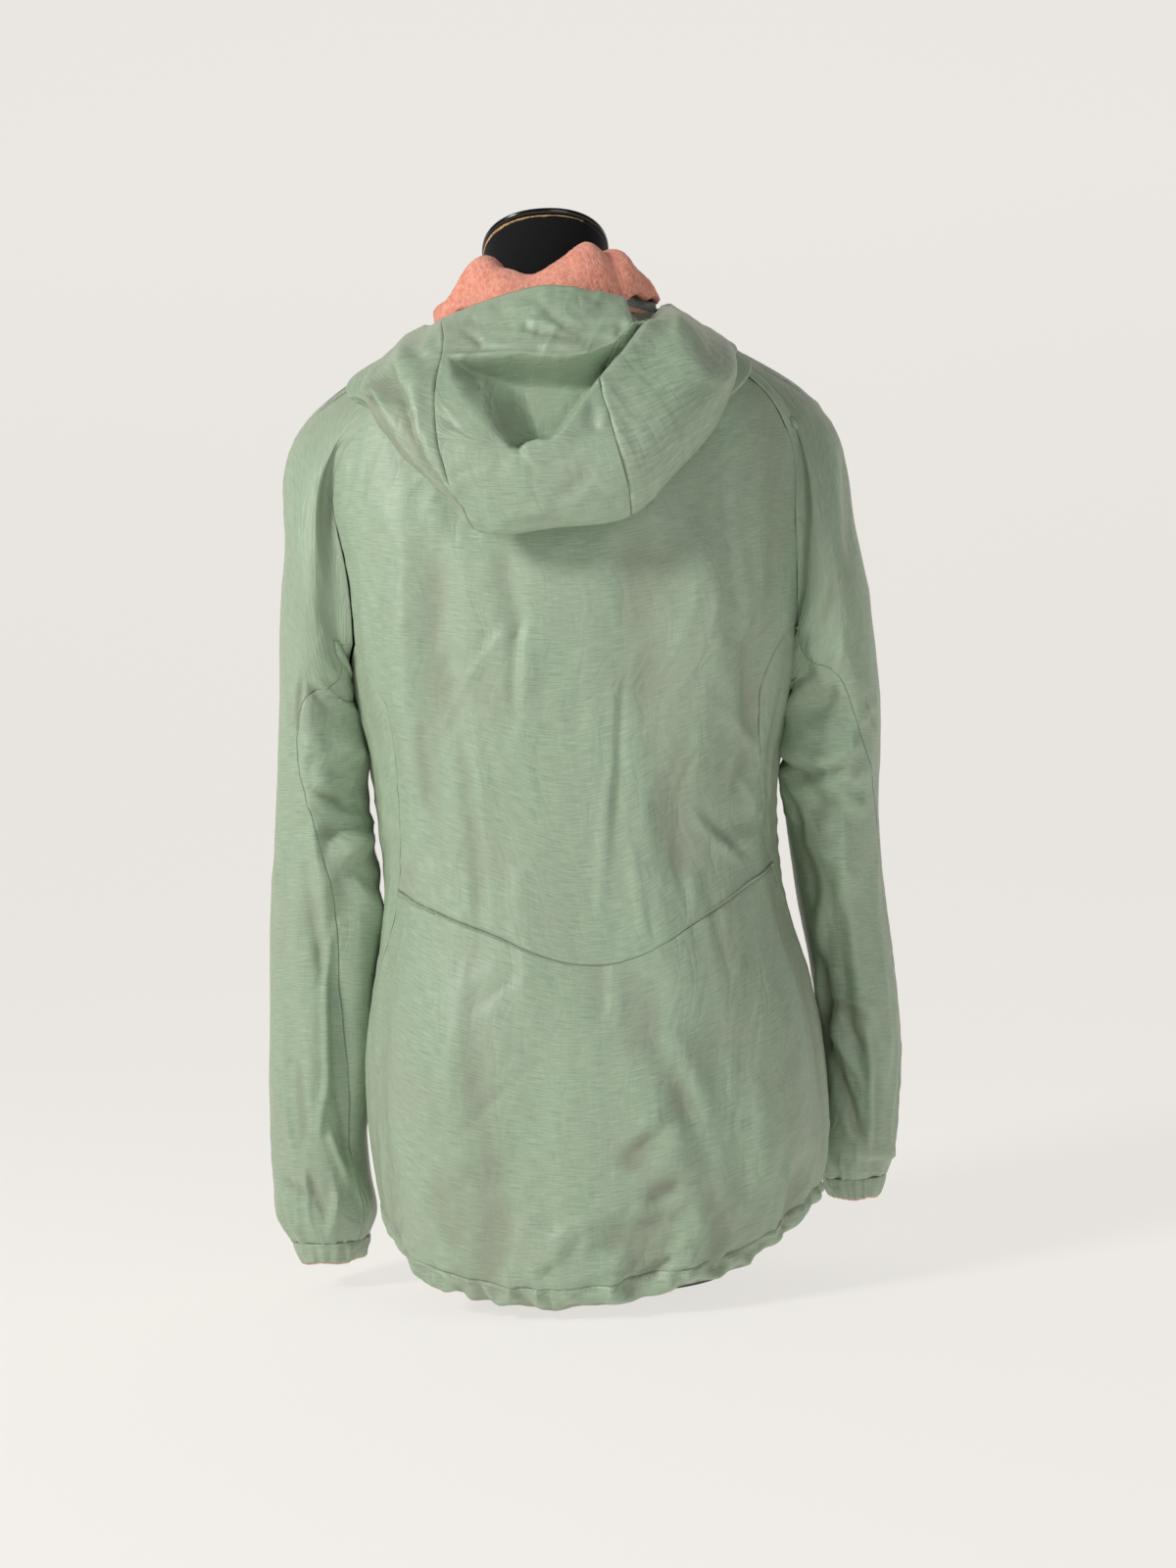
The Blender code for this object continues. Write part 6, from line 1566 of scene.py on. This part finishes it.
def neck_strip(name, material, low, high, out, thick):
    """A narrow strip at the right of the neck, between the pile and the hood."""
    turns = np.linspace(30.0, 74.0, 90)[None, :]
    up = np.linspace(0.0, 1.0, 6)[:, None]
    foot = body_surface(turns[0], neckline(turns[0]))
    outward = unit(foot * (1.0, 1.0, 0.0))
    points = (foot + outward * out)[None] + 0 * up[..., None]
    points[..., 2] = low + up * (high - low) + 0.0004 * hills(turns / 2.2, 0 * up, 141)
    return cloth_piece(name, points, outward[None] + 0 * up[..., None], [material], thick=thick)


collar()
neck_strip("neck_tape_band", BAND_CLOTH, 0.7370, 0.7490, 0.0175, 0.0010)
neck_strip("neck_binding", BINDING, 0.7335, 0.7372, 0.0187, 0.0012)

# %% [markdown]
# ## Dress form
#
# The form has no limbs and no face. It is a stack of level ovals that tilt at the neck, finer than the solid
# and otherwise the same, in black jersey, with a domed gloss cap that covers the raw top of its neck.

# %% The form and its cap
FORM_COLUMNS = 128


def form_ring(height, wide, back, front):
    x, y = oval(np.linspace(0.0, 2 * math.pi, FORM_COLUMNS + 1), wide, back, front, FORM_SQUARE)
    lean = -math.tan(NECK_TILT) * y * ease((height - NECK_TURN[0]) / NECK_TURN[1])
    return np.stack([x, y, height + lean], axis=1)


def turned(name, rings, material):
    """A closed body through a stack of rings, with a flat face at each end."""
    outward = rings - rings.mean(axis=1, keepdims=True)
    piece = cloth_piece(name, rings, outward, [material], thick=0.0, closed=True)
    faced_out(piece.data, filled=True)
    return piece


def dress_form():
    heights = np.concatenate([np.linspace(0.0, 0.62, 60), np.linspace(0.625, FORM[-1][0], 70)])
    rings = np.array([form_ring(height, *size) for height, size in zip(heights, read(FORM, heights))])
    body = turned("form_body_jersey", rings, JERSEY)
    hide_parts("form_body")
    top = FORM[-1][0]
    up = np.linspace(0.0, len(CAP) - 1.0, 40)
    cap = smooth(np.arange(len(CAP)), np.array(CAP), up)
    rings = np.array([form_ring(top + rise, radius, radius, radius) for rise, radius in cap])
    lid = turned("form_cap_gloss", rings, CAP_GLOSS)
    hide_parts("form_cap")
    return rings


def worn_line():
    """The worn tan edge of the jersey under the cap: broad on the left and fading to the right."""
    ring = form_ring(FORM[-1][0], *FORM[-1][1:])[:-1]
    number = np.arange(-round(FORM_COLUMNS * 0.30), round(FORM_COLUMNS * 0.10) + 1)
    edge = ring[number % FORM_COLUMNS]
    outward = unit((edge - ring.mean(axis=0)) * (1.0, 1.0, 0.0))
    share = np.linspace(0.0, 1.0, len(number))
    tall = 0.0007 + 0.0022 * (1 - share) ** 1.5 + 0.0004 * hills(share * 24, 0 * share, 151)
    up = np.linspace(-1.0, 0.15, 5)[:, None]
    points = (edge + 0.0005 * outward)[None] + 0 * up[..., None]
    points[..., 2] += up * tall
    piece = cloth_piece("form_worn_line", points, outward[None] + 0 * up[..., None], [WORN_EDGE], thick=0.0004)


CAP_RINGS = dress_form()
worn_line()
print("dress form: neck top at", round(float(CAP_RINGS[..., 2].min()), 4), "m")

# %% [markdown]
# ## Zip
#
# The zip closes the front up to the hood's edge: two woven tapes with a nylon coil between them. The
# tapes, the slider and its pull tab are the solids themselves, given their materials. Each turn of the
# coil is one small rounded bead, drawn four times as coarse as real, and all of them are one piece.

# %% Solids that stay, and their materials
for node, material, slot in (
    ("zip_left", TAPE, "zip_tape"), ("zip_right", TAPE, "zip_tape"),
    ("zip_slider", ZINC, "metal"), ("zip_pull", ZINC, "metal"),
):
    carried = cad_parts[node]
    carried.data.materials.clear()
    carried.data.materials.append(material)
    print(node, "is carried over in", material.name)


# %% Beads: zip coil and stitches
def beads(name, spots, size, material, body="jacket", around=(6, 3)):
    """Many small ovals as one piece: each spot is a place, the way it points and how it faces."""
    one = bmesh.new()
    bmesh.ops.create_uvsphere(one, u_segments=around[0], v_segments=around[1], radius=0.5)
    corners = np.array([tuple(corner.co) for corner in one.verts])
    loops = [[corner.index for corner in face.verts] for face in one.faces]
    one.free()
    points, faces = [], []
    for place, aim, face in spots:
        aim, face = unit(np.array(aim, float)), unit(np.array(face, float))
        side = unit(np.cross(face, aim))
        frame_of = np.stack([side * size[0], aim * size[1], face * size[2]])
        faces.extend([[corner + len(points) * len(corners) for corner in loop] for loop in loops])
        points.append(np.array(place) + corners @ frame_of)
    mesh = bpy.data.meshes.new(name)
    mesh.from_pydata(np.concatenate(points).tolist(), [], faces)
    mesh.validate()
    faced_out(mesh)
    mesh.shade_smooth()
    piece = placed(name, mesh)
    mesh.materials.append(material)
    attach(piece, body)
    print(f"{name}: {len(spots)} beads")
    return piece


def zip_path():
    """The zip's line up the middle of the front, as distance forward and height."""
    low, high = hem_height(180.0) + 0.001, neckline(180.0) - 0.004
    heights = np.linspace(low, high, ROWS_ZIP // 2)
    stand = np.array(HOOD[0][:0:-1])[:, 1:] * MILLIMETRE
    return along(np.concatenate([np.stack([body_sizes(heights)[3], heights], axis=1), stand]), ROWS_ZIP)


def coil():
    path = zip_path()
    length = float(np.linalg.norm(np.diff(path, axis=0), axis=1).sum())
    fine = along(path, int(length / 0.0024))
    tangent = unit(np.gradient(fine, axis=0))
    spots = []
    for number, ((forward, height), (run, rise)) in enumerate(zip(fine[1:-1], tangent[1:-1])):
        side = -1 if number % 2 else 1
        middle = body_sizes(height)[0]
        out = np.array((0.0, rise, -run))
        place = np.array((middle + side * 0.0010, forward, height)) - out * (SHELL / 2 - ZIP_TAPE / 2 + 0.0001)
        spots.append((place, (1.0, 0.0, 0.0), out))
    return beads("zip_coil", spots, (0.0019, 0.0030, 0.0016), COIL)


coil()


def stitch_line(points, normal, pitch=0.0034, sink=0.0002):
    """Spots of a row of stitches along a line on the cloth."""
    run = run_of(points)
    marks = np.arange(pitch / 2, run[-1], pitch)
    places, faces = (np.stack([np.interp(marks, run, part) for part in of.T], axis=1) for of in (points, normal))
    aims = np.gradient(places, axis=0)
    return [(place - sink * unit(face), aim, face) for place, aim, face in zip(places, aims, faces)]


STITCH = (0.0006, 0.0024, 0.0006)
hem_line = stitch_line(HEM_POINTS[HEM_STITCH_ROW], HEM_NORMAL[HEM_STITCH_ROW])
beads("hem_stitches", hem_line, STITCH, THREAD_GREEN)

# %% [markdown]
# ## Floor, light and camera
#
# The photo has an even, pale backdrop. Its main light stands at the upper left, which leaves the cloth's
# right side in soft shade and draws the long highlights on the satin, and a weak one at the right opens
# that shade. The backdrop glows a little of itself, so that it stays even behind the jacket. The camera
# stands two metres behind the jacket, level with its middle, with a lens that matches the photo's own
# perspective.

# %% Backdrop and lights
def sweep():
    """A floor that curves up into a wall, as one smooth sheet."""
    rows = [(-9.0, 0.0), (3.0, 0.0)]
    rows += [(3.0 + 2.0 * math.sin(a), 2.0 - 2.0 * math.cos(a)) for a in np.linspace(0.1, math.pi / 2, 16)]
    rows += [(5.0, 9.0)]
    ground = bmesh.new()
    bmesh.ops.create_grid(ground, x_segments=1, y_segments=len(rows) - 1, size=1.0)
    for corner in ground.verts:
        fore, rise = rows[int(round((corner.co.y + 1) / 2 * (len(rows) - 1)))]
        corner.co = (corner.co.x * 9.0, fore, rise - 0.006)
    bmesh.ops.recalc_face_normals(ground, faces=ground.faces)
    mesh = bpy.data.meshes.new("backdrop")
    ground.to_mesh(mesh)
    ground.free()
    mesh.shade_smooth()
    floor = placed("backdrop", mesh)
    paper = new_material(
        "studio_paper", Roughness=1.0, Specular_IOR_Level=0.0, Base_Color=srgb("#807E7C"),
        Emission_Color=srgb("#EFECE7"), Emission_Strength=0.84,
    )[0]
    mesh.materials.append(paper)


def lamp(name, place, aim, size, power, tint):
    light = bpy.data.lights.new(name, "AREA")
    light.shape, light.size, light.size_y = "RECTANGLE", size[0], size[1]
    light.energy, light.color = power, srgb(tint)[:3]
    holder = placed(name, light)
    holder.location = place
    holder.rotation_euler = (Vector(aim) - Vector(place)).to_track_quat("-Z", "Y").to_euler()


sweep()
lamp("key", (-2.15, -1.6, 1.8), (0.0, 0.0, 0.45), (0.7, 0.7), 64.0, "#FFFEFB")
lamp("fill", (1.2, -3.0, 0.9), (0.0, 0.0, 0.40), (1.4, 2.0), 17.0, "#F6FAFF")
world = bpy.data.worlds.new("studio")
world.use_nodes = True
sky = world.node_tree
seen = add(sky, "LightPath").outputs["Is Camera Ray"]
glow = add(sky, "Mix", {"Factor": seen, 2: 0.13, 3: 1.0}, data_type="FLOAT").outputs[0]
sky.nodes["Background"].inputs[0].default_value = srgb("#EFECE7")
sky.links.new(glow, sky.nodes["Background"].inputs[1])
bpy.context.scene.world = world
bpy.context.scene.view_settings.view_transform = "Standard"
print("lights: key, fill and the world")

# %% Camera
EYE = (0.0114, -2.0, 0.3825)
LENS = 59.2  # mm, on a sensor 36 mm high
PHOTO_LEAN = 3  # degrees
lens = bpy.data.cameras.new("camera")
lens.sensor_fit, lens.sensor_height, lens.lens = "VERTICAL", 36.0, LENS
lens.dof.use_dof = False
camera = placed("camera", lens)
camera.matrix_world = (
    Matrix.Translation(EYE)
    @ Matrix.Rotation(math.radians(90), 4, "X")
    @ Matrix.Rotation(math.radians(-PHOTO_LEAN), 4, "Z")
)
bpy.context.scene.camera = camera
print("camera at", EYE, "with a lens of", LENS, "mm")

# %% [markdown]
# ## The end

# The visual must stay within the solids' box and a little more.

# %% The end: the scene brought up to date
bpy.context.view_layer.update()
